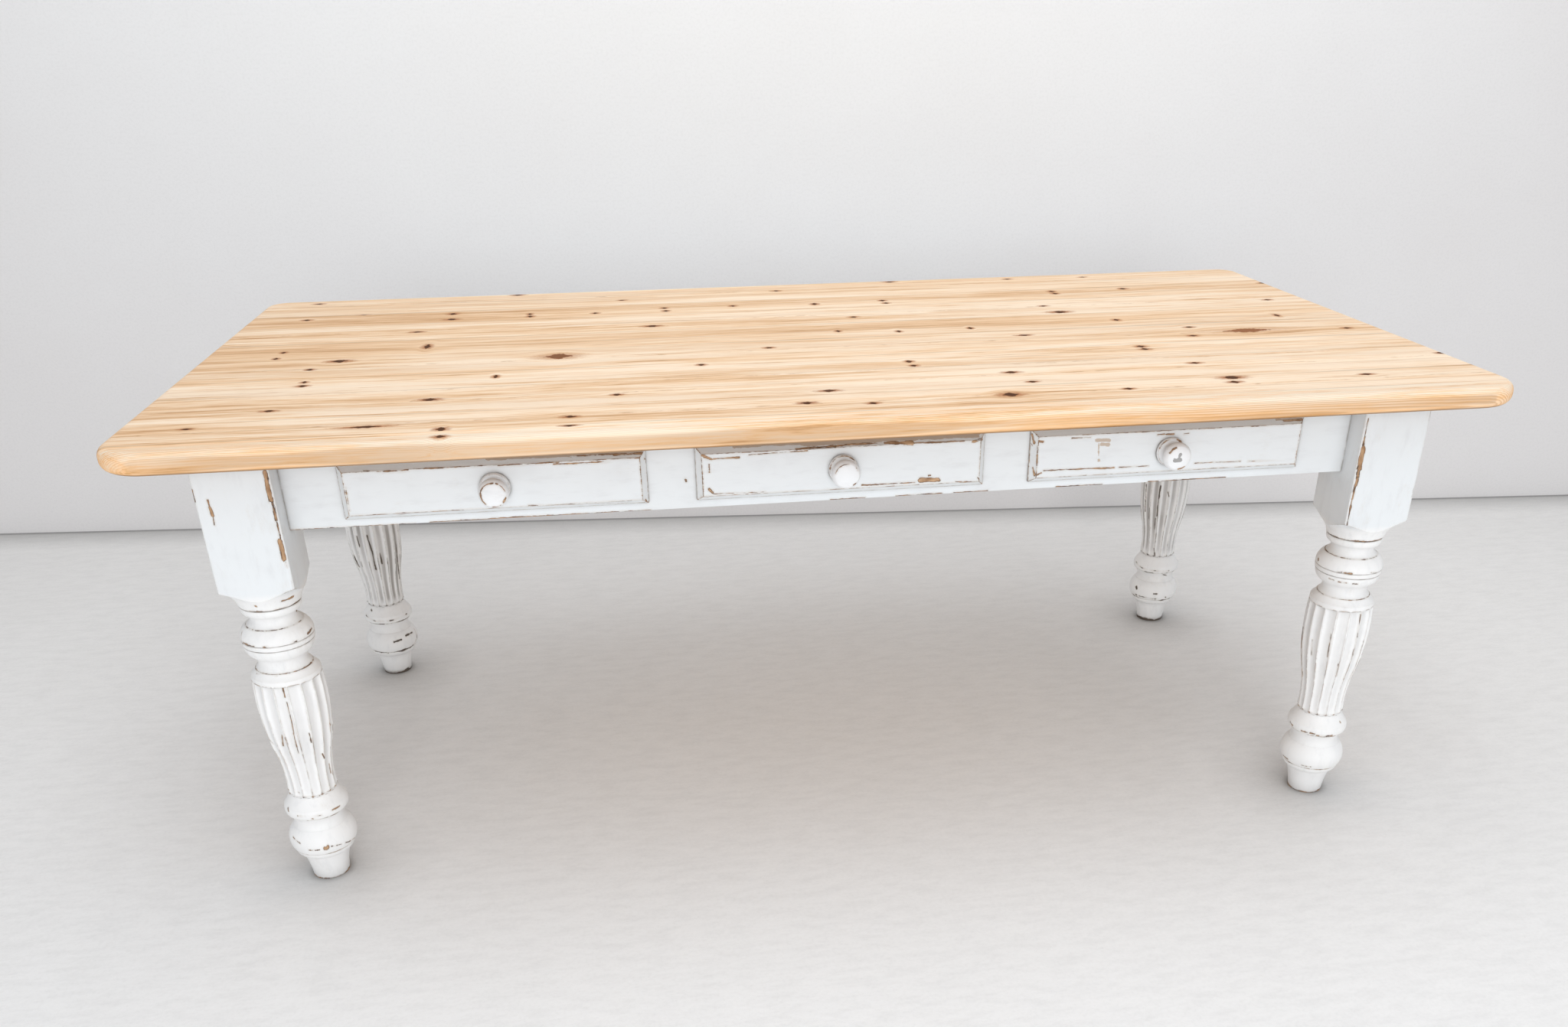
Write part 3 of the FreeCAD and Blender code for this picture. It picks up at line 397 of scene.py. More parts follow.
def joint_group() -> bpy.types.NodeTree:
    """The soft grey line where two boards meet, stronger in some stretches than in others."""
    shared = Shared(
        "board_joint",
        {Out.VECTOR: "Place", Out.VALUE: "Line Width Mask"},
        {Out.VALUE: "Mask"},
    )
    g = shared.graph
    place = shared.given("Place")
    _, y, _ = g.split(place)
    off = g.math("ABSOLUTE", g.math("SUBTRACT", y, shared.given("Line")))
    spread = g.math("MULTIPLY", g.onset(g.noise(place, JOINT_SWELL), SWOLLEN), shared.given("Width"))
    near = smooth_mask(g, g.math("DIVIDE", off, g.math("ADD", spread, LEAST_JOINT)), *SOFT_LINE)
    mask = g.math("MULTIPLY", near, g.onset(g.noise(place, JOINT_STRENGTH), STRONG_JOINT))
    return shared.close(Mask=g.math("MAXIMUM", shared.given("Mask"), mask))


DASH_DRIFT = Pattern((2.2, 0.0, 0.0))
DRIFT_SWING = 0.03
DASH_PATTERN = Pattern((26.0, 110.0, 0.0), 3.0, 0.7)
DASHES = Onset(0.52, 0.66)


def dash_group() -> bpy.types.NodeTree:
    """A broken brown line along the board, where the saw has met the log's middle."""
    shared = Shared(
        "pith_dashes",
        {Out.VECTOR: "Place", Out.VALUE: "Line Width Mask"},
        {Out.VALUE: "Mask"},
    )
    g = shared.graph
    place = shared.given("Place")
    _, y, _ = g.split(place)
    drift = g.vary(place, DASH_DRIFT, DRIFT_SWING)
    off = g.math("ABSOLUTE", g.math("ADD", g.math("SUBTRACT", y, shared.given("Line")), drift))
    near = smooth_mask(g, g.math("DIVIDE", off, shared.given("Width")), *SOFT_LINE)
    mask = g.math("MULTIPLY", near, g.onset(g.noise(place, DASH_PATTERN), DASHES))
    return shared.close(Mask=g.math("MAXIMUM", shared.given("Mask"), mask))


def chip_group() -> bpy.types.NodeTree:
    """One chip in the paint: a bar of uneven width that raises the running exposure.

    Exposure is how far inside a bare place the point lies, in metres, and below 0 outside.
    """
    shared = Shared(
        "paint_chip",
        {Out.VECTOR: "Place Start Along", Out.VALUE: "Radius Uneven Exposure"},
        {Out.VALUE: "Exposure"},
    )
    g = shared.graph
    along = shared.given("Along")
    away = g.vector("SUBTRACT", shared.given("Place"), shared.given("Start"))
    share = g.math("DIVIDE", g.vector("DOT_PRODUCT", away, along),
                   g.vector("DOT_PRODUCT", along, along), clamp=True)
    nearest = g.vector("MULTIPLY", along, g.join(share, share, share))
    distance = g.vector("LENGTH", g.vector("SUBTRACT", away, nearest))
    width = g.math("MULTIPLY", shared.given("Radius"), shared.given("Uneven"))
    here = g.math("SUBTRACT", width, distance)
    return shared.close(Exposure=g.math("MAXIMUM", shared.given("Exposure"), here))


def ring_group() -> bpy.types.NodeTree:
    """A worn line round an upright turned piece, broken here and there, as exposure."""
    shared = Shared(
        "worn_ring",
        {Out.VECTOR: "Place Middle", Out.VALUE: "Reach Radius Broken Exposure"},
        {Out.VALUE: "Exposure"},
    )
    g = shared.graph
    x, y, z = g.split(g.vector("SUBTRACT", shared.given("Place"), shared.given("Middle")))
    off = g.math("SUBTRACT", g.vector("LENGTH", g.join(x, y, 0.0)), shared.given("Reach"))
    distance = g.vector("LENGTH", g.join(off, z, 0.0))
    width = g.math("MULTIPLY", shared.given("Radius"), shared.given("Broken"))
    here = g.math("SUBTRACT", width, distance)
    return shared.close(Exposure=g.math("MAXIMUM", shared.given("Exposure"), here))


FLUTE_FOOT = 0.02
FLUTE_HEAD = 0.01
FLUTE_PATCHES = Pattern((18.0, 18.0, 5.0), 3.0)
FLUTE_STREAKS = Onset(0.25, 0.6, 0.6, 0.4)
FLUTE_MIDDLE = Onset(-0.5, 0.9)


def flute_group() -> bpy.types.NodeTree:
    """Where painted shade lies along the flutes of an upright leg: 1 in their middles, 0 between them."""
    shared = Shared(
        "flute_shade",
        {Out.VECTOR: "Place Middle", Out.VALUE: "Count Low High"},
        {Out.VALUE: "Mask"},
    )
    g = shared.graph
    x, y, z = g.split(g.vector("SUBTRACT", shared.given("Place"), shared.given("Middle")))
    wave = g.math("COSINE", g.math("MULTIPLY", g.math("ARCTAN2", y, x), shared.given("Count")))
    low, high = shared.given("Low"), shared.given("High")
    foot = g.ramp(z, low, g.math("ADD", low, FLUTE_FOOT))
    head = g.ramp(z, high, g.math("SUBTRACT", high, FLUTE_HEAD))
    streaks = g.onset(g.noise(shared.given("Place"), FLUTE_PATCHES), FLUTE_STREAKS)
    mask = g.math("MULTIPLY", g.math("MULTIPLY", foot, head), g.onset(wave, FLUTE_MIDDLE))
    return shared.close(Mask=g.math("MULTIPLY", mask, streaks))


RUBBED_PATCHES = Pattern(0.0, 2.0, 0.55)
RUBBING_GAIN = 10.0
EDGE_BREAKS = Pattern(55.0)
LEAST_WEAR = Onset(0.38, 0.5, 0.75, -0.35)


def wear_group() -> bpy.types.NodeTree:
    """Exposure along the edges, where rubbing has gone through the paint here and there."""
    shared = Shared(
        "edge_wear",
        {Out.VECTOR: "Place", Out.VALUE: "Sharpness Reach Width Patches Threshold"},
        {Out.VALUE: "Exposure"},
    )
    g = shared.graph
    patches = g.noise(shared.given("Place"), RUBBED_PATCHES, shared.given("Patches"))
    rubbed = g.math("MULTIPLY", g.math("SUBTRACT", patches, shared.given("Threshold")), RUBBING_GAIN)
    least = g.onset(g.noise(shared.given("Place"), EDGE_BREAKS), LEAST_WEAR)
    rubbed = g.math("MAXIMUM", g.math("MINIMUM", rubbed, 1.0), least)
    bluntness = g.math("SUBTRACT", 1.0, shared.given("Sharpness"))
    from_edge = g.math("MULTIPLY", bluntness, shared.given("Reach"))
    worn = g.math("SUBTRACT", g.math("MULTIPLY", rubbed, shared.given("Width")), from_edge)
    return shared.close(Exposure=worn)


COARSE_OUTLINE = Pattern(150.0, 3.0, 0.65)
COARSE_SWING = 0.0034
COARSE_MIDDLE = -0.0001
FINE_OUTLINE = Pattern(620.0, 3.0, 0.65)
FINE_SWING = 0.0024
BARE = Onset(0.0, 0.0002)
RIM_OUTSIDE = Onset(-0.0003, 0.0)
RIM_INSIDE = Onset(0.0004, 0.0015)
RIM_PATTERN = Pattern(90.0)
RIM_PATCHES = Onset(0.40, 0.60, 0.55, 0.37)
THIN_PAINT = Onset(-0.0035, 0.0, 0.4)
BRUSH_PATTERN = Pattern(80.0, 4.0, 0.6)
DULL_STROKES = Onset(0.48, 0.8, 0.3)
CLOUD_PATTERN = Pattern(9.0, 3.0, 0.6)
DULL_CLOUDS = Onset(0.5, 0.8, 0.3)
GROOVE_SHADE = Onset(0.34, 0.48)
GROOVE_PATTERN = Pattern(45.0)
GROOVE_PATCHES = Onset(0.36, 0.56)
GROOVE_DARK = 0.5
HOLLOW_SHADE = Onset(0.06, 0.44, 0.38)
CORNER_SHADE = Onset(0.12, 0.75, 0.42)
STAINED = Onset(-0.0002, 0.0002, 0.75)
BARE_FIBRES = Pattern(260.0, 3.0)
DARK_FIBRES = Onset(0.35, 0.7)


def paint_group() -> bpy.types.NodeTree:
    """Off-white paint that shows brown wood where the exposure is above 0.

    A dark rim runs round each bare place, and the paint is thin and warm just outside it. The Grime colour
    is painted shade, laid into grooves, wider hollows, corners and the flutes.
    """
    shared = Shared(
        "worn_paint",
        {Out.VECTOR: "Place Grain", Out.VALUE: "Exposure Hollow Soil Shade Dirt Stain",
         Out.COLOUR: "White Grey Thin Stained Wood Dark_Wood Rim Grime"},
        {Out.COLOUR: "Color", Out.VALUE: "Bare Strokes"},
    )
    g = shared.graph
    place = shared.given("Place")
    along = g.vector("MULTIPLY", place, shared.given("Grain"))
    ragged = g.math("ADD", g.vary(along, COARSE_OUTLINE, COARSE_SWING, COARSE_MIDDLE),
                    g.vary(along, FINE_OUTLINE, FINE_SWING))
    exposure = g.math("ADD", shared.given("Exposure"), ragged)
    bare = g.onset(exposure, BARE)
    rim = g.math("SUBTRACT", g.onset(exposure, RIM_OUTSIDE), g.onset(exposure, RIM_INSIDE), clamp=True)
    rim = g.math("MULTIPLY", rim, g.onset(g.noise(place, RIM_PATTERN), RIM_PATCHES))
    strokes = g.noise(along, BRUSH_PATTERN)
    clouds = g.onset(g.noise(place, CLOUD_PATTERN), DULL_CLOUDS)
    paint = g.mix(g.onset(strokes, DULL_STROKES, clouds), shared.given("White"), shared.given("Grey"))
    paint = g.mix(g.onset(exposure, THIN_PAINT), paint, shared.given("Thin"))
    # Painted shade: dark lines in tight grooves, and a haze in wider hollows and beside corners.
    hollow = g.math("MULTIPLY", shared.given("Hollow"), shared.given("Soil"))
    patches = g.onset(g.noise(place, GROOVE_PATTERN), GROOVE_PATCHES)
    lined = g.math("MULTIPLY", g.onset(hollow, GROOVE_SHADE), patches)
    shaded_share = g.math("MULTIPLY_ADD", lined, GROOVE_DARK, g.onset(hollow, HOLLOW_SHADE))
    shaded_share = g.math("MAXIMUM", shaded_share, g.onset(shared.given("Shade"), CORNER_SHADE))
    paint = g.mix(g.math("MAXIMUM", shaded_share, shared.given("Dirt")), paint, shared.given("Grime"))
    stain = g.math("ADD", shared.given("Stain"), ragged)
    paint = g.mix(g.onset(stain, STAINED), paint, shared.given("Stained"))
    fibres = g.onset(g.noise(along, BARE_FIBRES), DARK_FIBRES)
    wood = g.mix(fibres, shared.given("Wood"), shared.given("Dark Wood"))
    colour = g.mix(rim, g.mix(bare, paint, wood), shared.given("Rim"))
    return shared.close(Color=colour, Bare=bare, Strokes=strokes)


# ---------------------------------------------------------------- finishes

KNOT_OUTLINE = Pattern(150.0, 3.0, 0.6)
KNOT_SWING = 1.1
LIGHT_KNOT = Onset(0.0, 0.35)
UNDERSIDE_SHADE_SHARE = 0.8
DASH_SHARE = 0.6
JOINT_SHARE = 0.4
HALO_SHARE = 0.85
BAND_BREAKS = Pattern(30.0, 3.0, 0.6)
BAND_SWING = 7.0
BAND_MIDDLE = 0.7
EDGE_GAIN = 2.0
CHIP_WIDTHS = Pattern(120.0, 3.0, 0.6)
CHIP_SWING = 3.0
ARC_STEP = 20.0
PLASTER_CLOUDS = Pattern(2.2, 6.0, 0.65)
CLOUDY_LIGHT_POOL = 0.4
LIGHT_POOL_END = Onset(0.3, 1.3)
PLASTER_SPECKS = Pattern(160.0, 3.0, 0.7)
SPECKS = Onset(0.4, 0.75)
PLASTER_STREAKS = Pattern((16.0, 48.0, 48.0), 6.0, 0.72)
BROAD_STREAKS = Onset(0.35, 0.75)
FOOT_SHADE_BLEND = 1.5


@dataclass(frozen=True)
class Knot:
    """A knot on the face of a board.

    Args:
        x: Where it is along the board, in millimetres.
        y: Where it is across the table, in millimetres.
        long: Half its length, in millimetres.
        wide: Half its width, in millimetres.
        dark: How dark its middle is, 1 for a full one.
    """

    x: float
    y: float
    long: float = 7.0
    wide: float = 6.0
    dark: float = 1.0


@dataclass(frozen=True)
class Pine:
    """Waxed pine for one board of the top, or bare pine inside the frame.

    Args:
        name: The material's name.
        tone: 0 for the palest wood, a half for tan and 1 for brown.
        pith_y: The log's middle across the board, in millimetres in the table's frame.
        pith_depth: The log's middle below the table's upper face, in millimetres.
        contrast: How far the streaks stand out from the ground.
        fade: How much paler the board grows along X, in tone per metre.
        slope: How far the grain runs off the board's own direction, in metres per metre.
        ring_width: Millimetres from one growth ring to the next.
        ring_share: How strongly the late wood shows.
        knots: The board's knots.
        dashes: Where broken brown lines run along the board, in millimetres.
        roughness: Of the waxed or bare surface.
        specular: How much of the light it mirrors.
        relief: Strength and depth in metres of its relief.
        joint_width: How far the grey of a joint spreads, in millimetres.
        dash_width: Half width of the brown lines, in millimetres.
        golden_edge: How much deeper the colour is on the table's edge than on its face, a painted warm
            shade on the edge.
        fibres_along_y: Whether the piece runs from the table's front to its back.
        pale: The ground at a tone of 0.
        tan: The ground at a tone of a half.
        brown: The ground at a tone of 1.
        late: Late wood and the broken lines.
        joint: The line where two boards meet.
        halo: Round a knot, and inside a light one.
        core: A knot's dark middle.
        golden: The table's edge, its warm shade painted in.
        underside_shade: Painted shade on the faces that look down.
        surface_height: Height of the table's upper face, in millimetres.
        edge_depth: Where the edge's colour is full and where it begins, in millimetres below that.
        underside_height: Height under which the faces that look down lie, in millimetres.
        underside_blend: How far above that their painted shade reaches, in millimetres.
        knot_depth: Half the thickness of a knot, in millimetres.
        knot_bend: How far a knot pushes the grain aside, as a share of its half width.
        knot_relief: How far a knot stands out, against the fibres.
    """

    name: str
    tone: float
    pith_y: float
    pith_depth: float = 60.0
    contrast: float = 1.0
    fade: float = 0.05
    slope: float = 0.012
    ring_width: float = 3.6
    ring_share: float = 0.35
    knots: tuple[Knot, ...] = ()
    dashes: tuple[float, ...] = ()
    roughness: float = 0.5
    specular: float = 0.03
    relief: Span = (0.35, 0.00025)
    joint_width: float = 6.0
    dash_width: float = 6.0
    golden_edge: float = 0.0
    fibres_along_y: bool = False
    pale: Colour = (0.975, 0.798, 0.612)
    tan: Colour = (0.865, 0.600, 0.373)
    brown: Colour = (0.640, 0.370, 0.185)
    late: Colour = (0.460, 0.245, 0.115)
    joint: Colour = (0.330, 0.215, 0.135)
    halo: Colour = (0.430, 0.170, 0.065)
    core: Colour = (0.085, 0.028, 0.006)
    golden: Colour = (0.980, 0.500, 0.170)
    underside_shade: Colour = (0.280, 0.150, 0.070)
    surface_height: float = 780.0
    edge_depth: Span = (14.0, 1.0)
    underside_height: float = 749.0
    underside_blend: float = 4.0
    knot_depth: float = 16.0
    knot_bend: float = 0.9
    knot_relief: float = -0.8

    def build(self, shared: "SharedGroups", joints: tuple[float, ...] = ()) -> bpy.types.Material:
        """Make the material.

        Args:
            shared: The shared node groups.
            joints: Where the board meets its neighbours, in metres across the table.
        """
        material, g, shader = new_material(self.name)
        place = g.place()
        if self.fibres_along_y:
            x, y, z = g.split(place)
            place = g.join(y, x, z)
        bend, core, halo = self.run_knots(g, shared, place)
        grain = g.group(
            shared.grain, Place=place, Bend=bend, Slope=self.slope, Pith_Y=self.pith_y * MM,
            Pith_Z=(self.surface_height - self.pith_depth) * MM, Ring_Width=self.ring_width * MM,
            Ring_Share=self.ring_share, Contrast=self.contrast, Fade=self.fade, Tone=self.tone,
            Pale=self.pale, Tan=self.tan, Brown=self.brown, Late=self.late,
        )
        dashes = tuple(line * MM for line in self.dashes)
        dashed = run_lines(g, shared.dashes, place, dashes, self.dash_width * MM)
        joined = run_lines(g, shared.joint, place, joints, self.joint_width * MM)
        _, _, height = g.split(place)
        full, begins = ((self.surface_height - depth) * MM for depth in self.edge_depth)
        # Painted shade: the table's edge takes a deeper, warmer colour than its face.
        edge = smooth_mask(g, height, full, begins)
        colour = g.blend(self.golden_edge, edge, grain["Color"], self.golden)
        # Painted shade: the faces that look down, under the top, are darkened.
        under = smooth_mask(g, height, self.underside_height * MM,
                            (self.underside_height + self.underside_blend) * MM)
        colour = g.blend(UNDERSIDE_SHADE_SHARE, under, colour, self.underside_shade)
        colour = g.blend(DASH_SHARE, dashed, colour, self.late)
        colour = g.blend(JOINT_SHARE, joined, colour, self.joint)
        colour = g.blend(HALO_SHARE, halo, colour, self.halo)
        colour = g.mix(g.onset(core, LIGHT_KNOT), colour, self.halo)
        g.feed(shader.inputs["Base Color"], g.mix(core, colour, self.core))
        shader.inputs["Roughness"].default_value = self.roughness
        shader.inputs["Specular IOR Level"].default_value = self.specular
        height = g.math("MULTIPLY_ADD", core, self.knot_relief, grain["Height"])
        g.feed(shader.inputs["Normal"], bump(g, height, *self.relief))
        return material

    def run_knots(self, g: Graph, shared: "SharedGroups", place: Socket) -> tuple[Fed, Fed, Fed]:
        """Place the knots one after another.

        Args:
            g: The material's graph.
            shared: The shared node groups.
            place: The point of the surface.

        Returns:
            How far they bend the grain, their dark middles and the halos round them.
        """
        ragged = g.vary(place, KNOT_OUTLINE, KNOT_SWING)
        bend, core, halo = 0.0, 0.0, 0.0
        for knot in self.knots:
            stage = g.group(
                shared.knot, Place=place, Centre=(knot.x * MM, knot.y * MM, self.surface_height * MM),
                Size=(knot.long * MM, knot.wide * MM, self.knot_depth * MM), Ragged=ragged,
                Push=self.knot_bend * knot.wide * MM, Dark=knot.dark, Bend=bend, Core=core, Halo=halo,
            )
            bend, core, halo = stage["Bend"], stage["Core"], stage["Halo"]
        return bend, core, halo


def run_lines(g: Graph, shared: bpy.types.NodeTree, place: Socket, lines: tuple[float, ...],
              width: float) -> Fed:
    """Place lines along a board one after another and return their mask.

    Args:
        g: The material's graph.
        shared: The group of such a line.
        place: The point of the surface.
        lines: Where they run, in metres across the board.
        width: Their half width, in metres.
    """
    mask: Fed = 0.0
    for line in lines:
        mask = g.group(shared, Place=place, Line=line, Width=width, Mask=mask)["Mask"]
    return mask


@dataclass(frozen=True)
class Chip:
    """A bare place in the paint.

    Args:
        start: One end, in millimetres.
        end: The other end, in millimetres.
        radius: Its half width, in millimetres.
    """

    start: Point
    end: Point
    radius: float


def on_face(y: float, *marks: tuple[float, float, float, float, float]) -> tuple[Chip, ...]:
    """Return chips on a face that looks out of the drawers' side.

    Args:
        y: Where the face is, in millimetres.
        marks: For each chip, x and z of one end, x and z of the other, and its half width.
    """
    return tuple(Chip((x, y, z), (end_x, y, end_z), radius) for x, z, end_x, end_z, radius in marks)


class Ring(Enum):
    """The turned edges of a knob: radius and distance behind its face, in millimetres."""

    RIM = (18.3, 4.0)
    HEAD = (21.4, 16.5)
    COLLAR = (21.3, 36.5)


@dataclass(frozen=True)
class Arc:
    """A worn stretch of a knob's edge.

    Args:
        ring: The edge that it lies on.
        start: Where it begins, in degrees anticlockwise from +X.
        end: Where it ends, in the same way.
        radius: Its half width, in millimetres.
    """

    ring: Ring
    start: float
    end: float
    radius: float

    def chips(self, centre: Vector, face: float) -> tuple[Chip, ...]:
        """Return the stretch as short chips.

        Args:
            centre: Any point of the knob's axis, in millimetres.
            face: Where the knob's face is along Y, in millimetres.
        """
        radius, behind = self.ring.value
        steps = max(1, round(abs(self.end - self.start) / ARC_STEP))
        turns = [math.radians(self.start + (self.end - self.start) * i / steps) for i in range(steps + 1)]
        points = [(centre.x + radius * math.cos(turn), face + behind, centre.z + radius * math.sin(turn))
                  for turn in turns]
        return tuple(Chip(a, b, self.radius) for a, b in zip(points, points[1:]))


@dataclass(frozen=True)
class Band:
    """A worn line round a leg.

    Args:
        height: Above the floor, in millimetres.
        reach: The leg's radius there, in millimetres.
        radius: The line's half width, in millimetres.
    """

    height: float
    reach: float
    radius: float


@dataclass(frozen=True)
class Paint:
    """Off-white paint over brown wood, worn through at the edges.

    Args:
        name: The material's name.
        grain: How fast the pattern changes along X, Y and Z, slowest along the wood's fibres.
        worn_edges: Whether every edge is rubbed, or only the places with chips.
        width: How far from an edge the wear goes at most, in millimetres.
        patches: Worn stretches per metre.
        threshold: Higher leaves less of the edges worn.
        chips: The places where more than an edge is bare.
        stains: The places where the paint is only thin.
        bands: Worn lines round an upright turned piece.
        axis: Where that piece's axis stands, in millimetres.
        flute_shade: How dark the painted shade in the flutes is.
        flutes: How many there are, the first of them towards +X.
        fluted_from: Height of their feet, in millimetres.
        fluted_to: Height of their heads, in millimetres.
        edge_reach: How far inside the wood an edge is felt, in metres.
        hollow_reach: How wide a groove may be and still take painted shade, in metres.
        soil: How strong that painted shade is.
        shade_reach: How far the painted shade beside a hollow goes, in metres.
        specular: How much of the light it mirrors.
        roughness: Of the paint.
        bare_roughness: How much rougher bare wood is.
        relief: Strength and depth in metres of the brush strokes.
        outside: The exposure away from every mark, in metres.
        turned_below: Height under which the paint is whiter, on the turning, in millimetres.
        turned_blend: How far below that it is fully so, in millimetres.
        white: The paint.
        turned_white: The paint on the turning.
        grey: Its duller strokes.
        thin: Where it is rubbed thin.
        stained: Where it is stained through.
        wood: The wood under it.
        dark_wood: That wood's darker fibres.
        rim: The line round a bare place.
        grime: The painted shade in the hollows and the flutes.
    """

    name: str
    grain: Point = (1.0, 1.0, 0.25)
    worn_edges: bool = True
    width: float = 1.3
    patches: float = 16.0
    threshold: float = 0.53
    chips: tuple[Chip, ...] = ()
    stains: tuple[Chip, ...] = ()
    bands: tuple[Band, ...] = ()
    axis: tuple[float, float] = (0.0, 0.0)
    flute_shade: float = 0.0
    flutes: float = 16.0
    fluted_from: float = 168.0
    fluted_to: float = 380.0
    edge_reach: float = 0.004
    hollow_reach: float = 0.006
    soil: float = 1.0
    shade_reach: float = 0.035
    specular: float = 0.28
    roughness: float = 0.5
    bare_roughness: float = 0.15
    relief: Span = (0.25, 0.0003)
    outside: float = -0.01
    turned_below: float = 0.0
    turned_blend: float = 15.0
    white: Colour = (0.855, 0.885, 0.902)
    turned_white: Colour = (0.950, 0.950, 0.945)
    grey: Colour = (0.680, 0.690, 0.705)
    thin: Colour = (0.66, 0.60, 0.53)
    stained: Colour = (0.52, 0.38, 0.26)
    wood: Colour = (0.56, 0.355, 0.205)
    dark_wood: Colour = (0.34, 0.19, 0.10)
    rim: Colour = (0.085, 0.052, 0.038)
    grime: Colour = (0.265, 0.240, 0.220)

    def build(self, shared: "SharedGroups") -> bpy.types.Material:
        """Make the material."""
        material, g, shader = new_material(self.name)
        place = g.place()
        _, _, height = g.split(place)
        turned = smooth_mask(g, height, (self.turned_below - self.turned_blend) * MM,
                             self.turned_below * MM)
        # The two ambient occlusion looks below feed the painted shade in grooves, hollows and corners.
        finish = g.group(
            shared.paint, Place=place, Grain=self.grain, Exposure=self.bared(g, shared, place),
            Hollow=g.hidden(self.hollow_reach), Soil=self.soil, Shade=g.hidden(self.shade_reach),
            Dirt=self.dirt(g, shared, place), Stain=self.exposure(g, shared, place, self.stains),
            White=g.mix(turned, self.white, self.turned_white), Grey=self.grey, Thin=self.thin,
            Stained=self.stained, Wood=self.wood, Dark_Wood=self.dark_wood, Rim=self.rim, Grime=self.grime,
        )
        g.feed(shader.inputs["Base Color"], finish["Color"])
        roughness = g.math("MULTIPLY_ADD", finish["Bare"], self.bare_roughness, self.roughness)
        g.feed(shader.inputs["Roughness"], roughness)
        shader.inputs["Specular IOR Level"].default_value = self.specular
        g.feed(shader.inputs["Normal"], bump(g, finish["Strokes"], *self.relief))
        return material

    def bared(self, g: Graph, shared: "SharedGroups", place: Socket) -> Fed:
        """Return the exposure from the chips, the bands and the rubbed edges together.

        Args:
            g: The material's graph.
            shared: The shared node groups.
            place: The point of the surface.
        """
        bared = self.exposure(g, shared, place, self.chips)
        if self.bands:
            broken = g.vary(place, BAND_BREAKS, BAND_SWING, BAND_MIDDLE)
        for band in self.bands:
            middle = (self.axis[0] * MM, self.axis[1] * MM, band.height * MM)
            bared = g.group(shared.ring, Place=place, Middle=middle, Reach=band.reach * MM,
                            Radius=band.radius * MM, Broken=broken, Exposure=bared)["Exposure"]
        if not self.worn_edges:
            return bared
        inside = g.hidden(self.edge_reach, inside=True, only_local=True)
        sharpness = g.math("MULTIPLY", inside, EDGE_GAIN, clamp=True)
        edges = g.group(shared.wear, Place=place, Sharpness=sharpness, Reach=self.edge_reach,
                        Width=self.width * MM, Patches=self.patches, Threshold=self.threshold)
        return g.math("MAXIMUM", edges["Exposure"], bared)

    def dirt(self, g: Graph, shared: "SharedGroups", place: Socket) -> Fed:
        """Return how dark the painted shade in the flutes is at a point."""
        if not self.flute_shade:
            return 0.0
        fluted = g.group(shared.flutes, Place=place, Middle=(self.axis[0] * MM, self.axis[1] * MM, 0.0),
                         Count=self.flutes, Low=self.fluted_from * MM, High=self.fluted_to * MM)
        return g.math("MULTIPLY", fluted["Mask"], self.flute_shade)

    def exposure(self, g: Graph, shared: "SharedGroups", place: Socket, marks: tuple[Chip, ...]) -> Fed:
        """Return how far inside the nearest of the marks a point lies.

        Args:
            g: The material's graph.
            shared: The shared node groups.
            place: The point.
            marks: Chips or stains.
        """
        running: Fed = self.outside
        if marks:
            along = g.vector("MULTIPLY", place, self.grain)
            uneven = g.vary(along, CHIP_WIDTHS, CHIP_SWING, 1.0)
        for mark in marks:
            start = Vector(mark.start) * MM
            length = Vector(mark.end) * MM - start
            running = g.group(shared.chip, Place=place, Start=start[:], Along=length[:],
                              Radius=mark.radius * MM, Uneven=uneven, Exposure=running)["Exposure"]
        return running


@dataclass(frozen=True)
class Steel:
    """Zinc-plated steel of the screws.

    Args:
        name: The material's name.
        bright: The brighter patches.
        dull: The duller ones.
        wear: How the patches lie.
        roughness: Of the brightest.
        dull_roughness: How much rougher the dullest are.
    """

    name: str = "zinc_steel"
    bright: Colour = (0.52, 0.52, 0.54)
    dull: Colour = (0.34, 0.33, 0.32)
    wear: Pattern = Pattern(900.0, 3.0, 0.6)
    roughness: float = 0.25
    dull_roughness: float = 0.3

    def build(self) -> bpy.types.Material:
        """Make the material."""
        material, g, shader = new_material(self.name)
        worn = g.noise(g.place(), self.wear)
        g.feed(shader.inputs["Base Color"], g.mix(worn, self.bright, self.dull))
        roughness = g.math("MULTIPLY_ADD", worn, self.dull_roughness, self.roughness)
        g.feed(shader.inputs["Roughness"], roughness)
        shader.inputs["Metallic"].default_value = 1.0
        return material


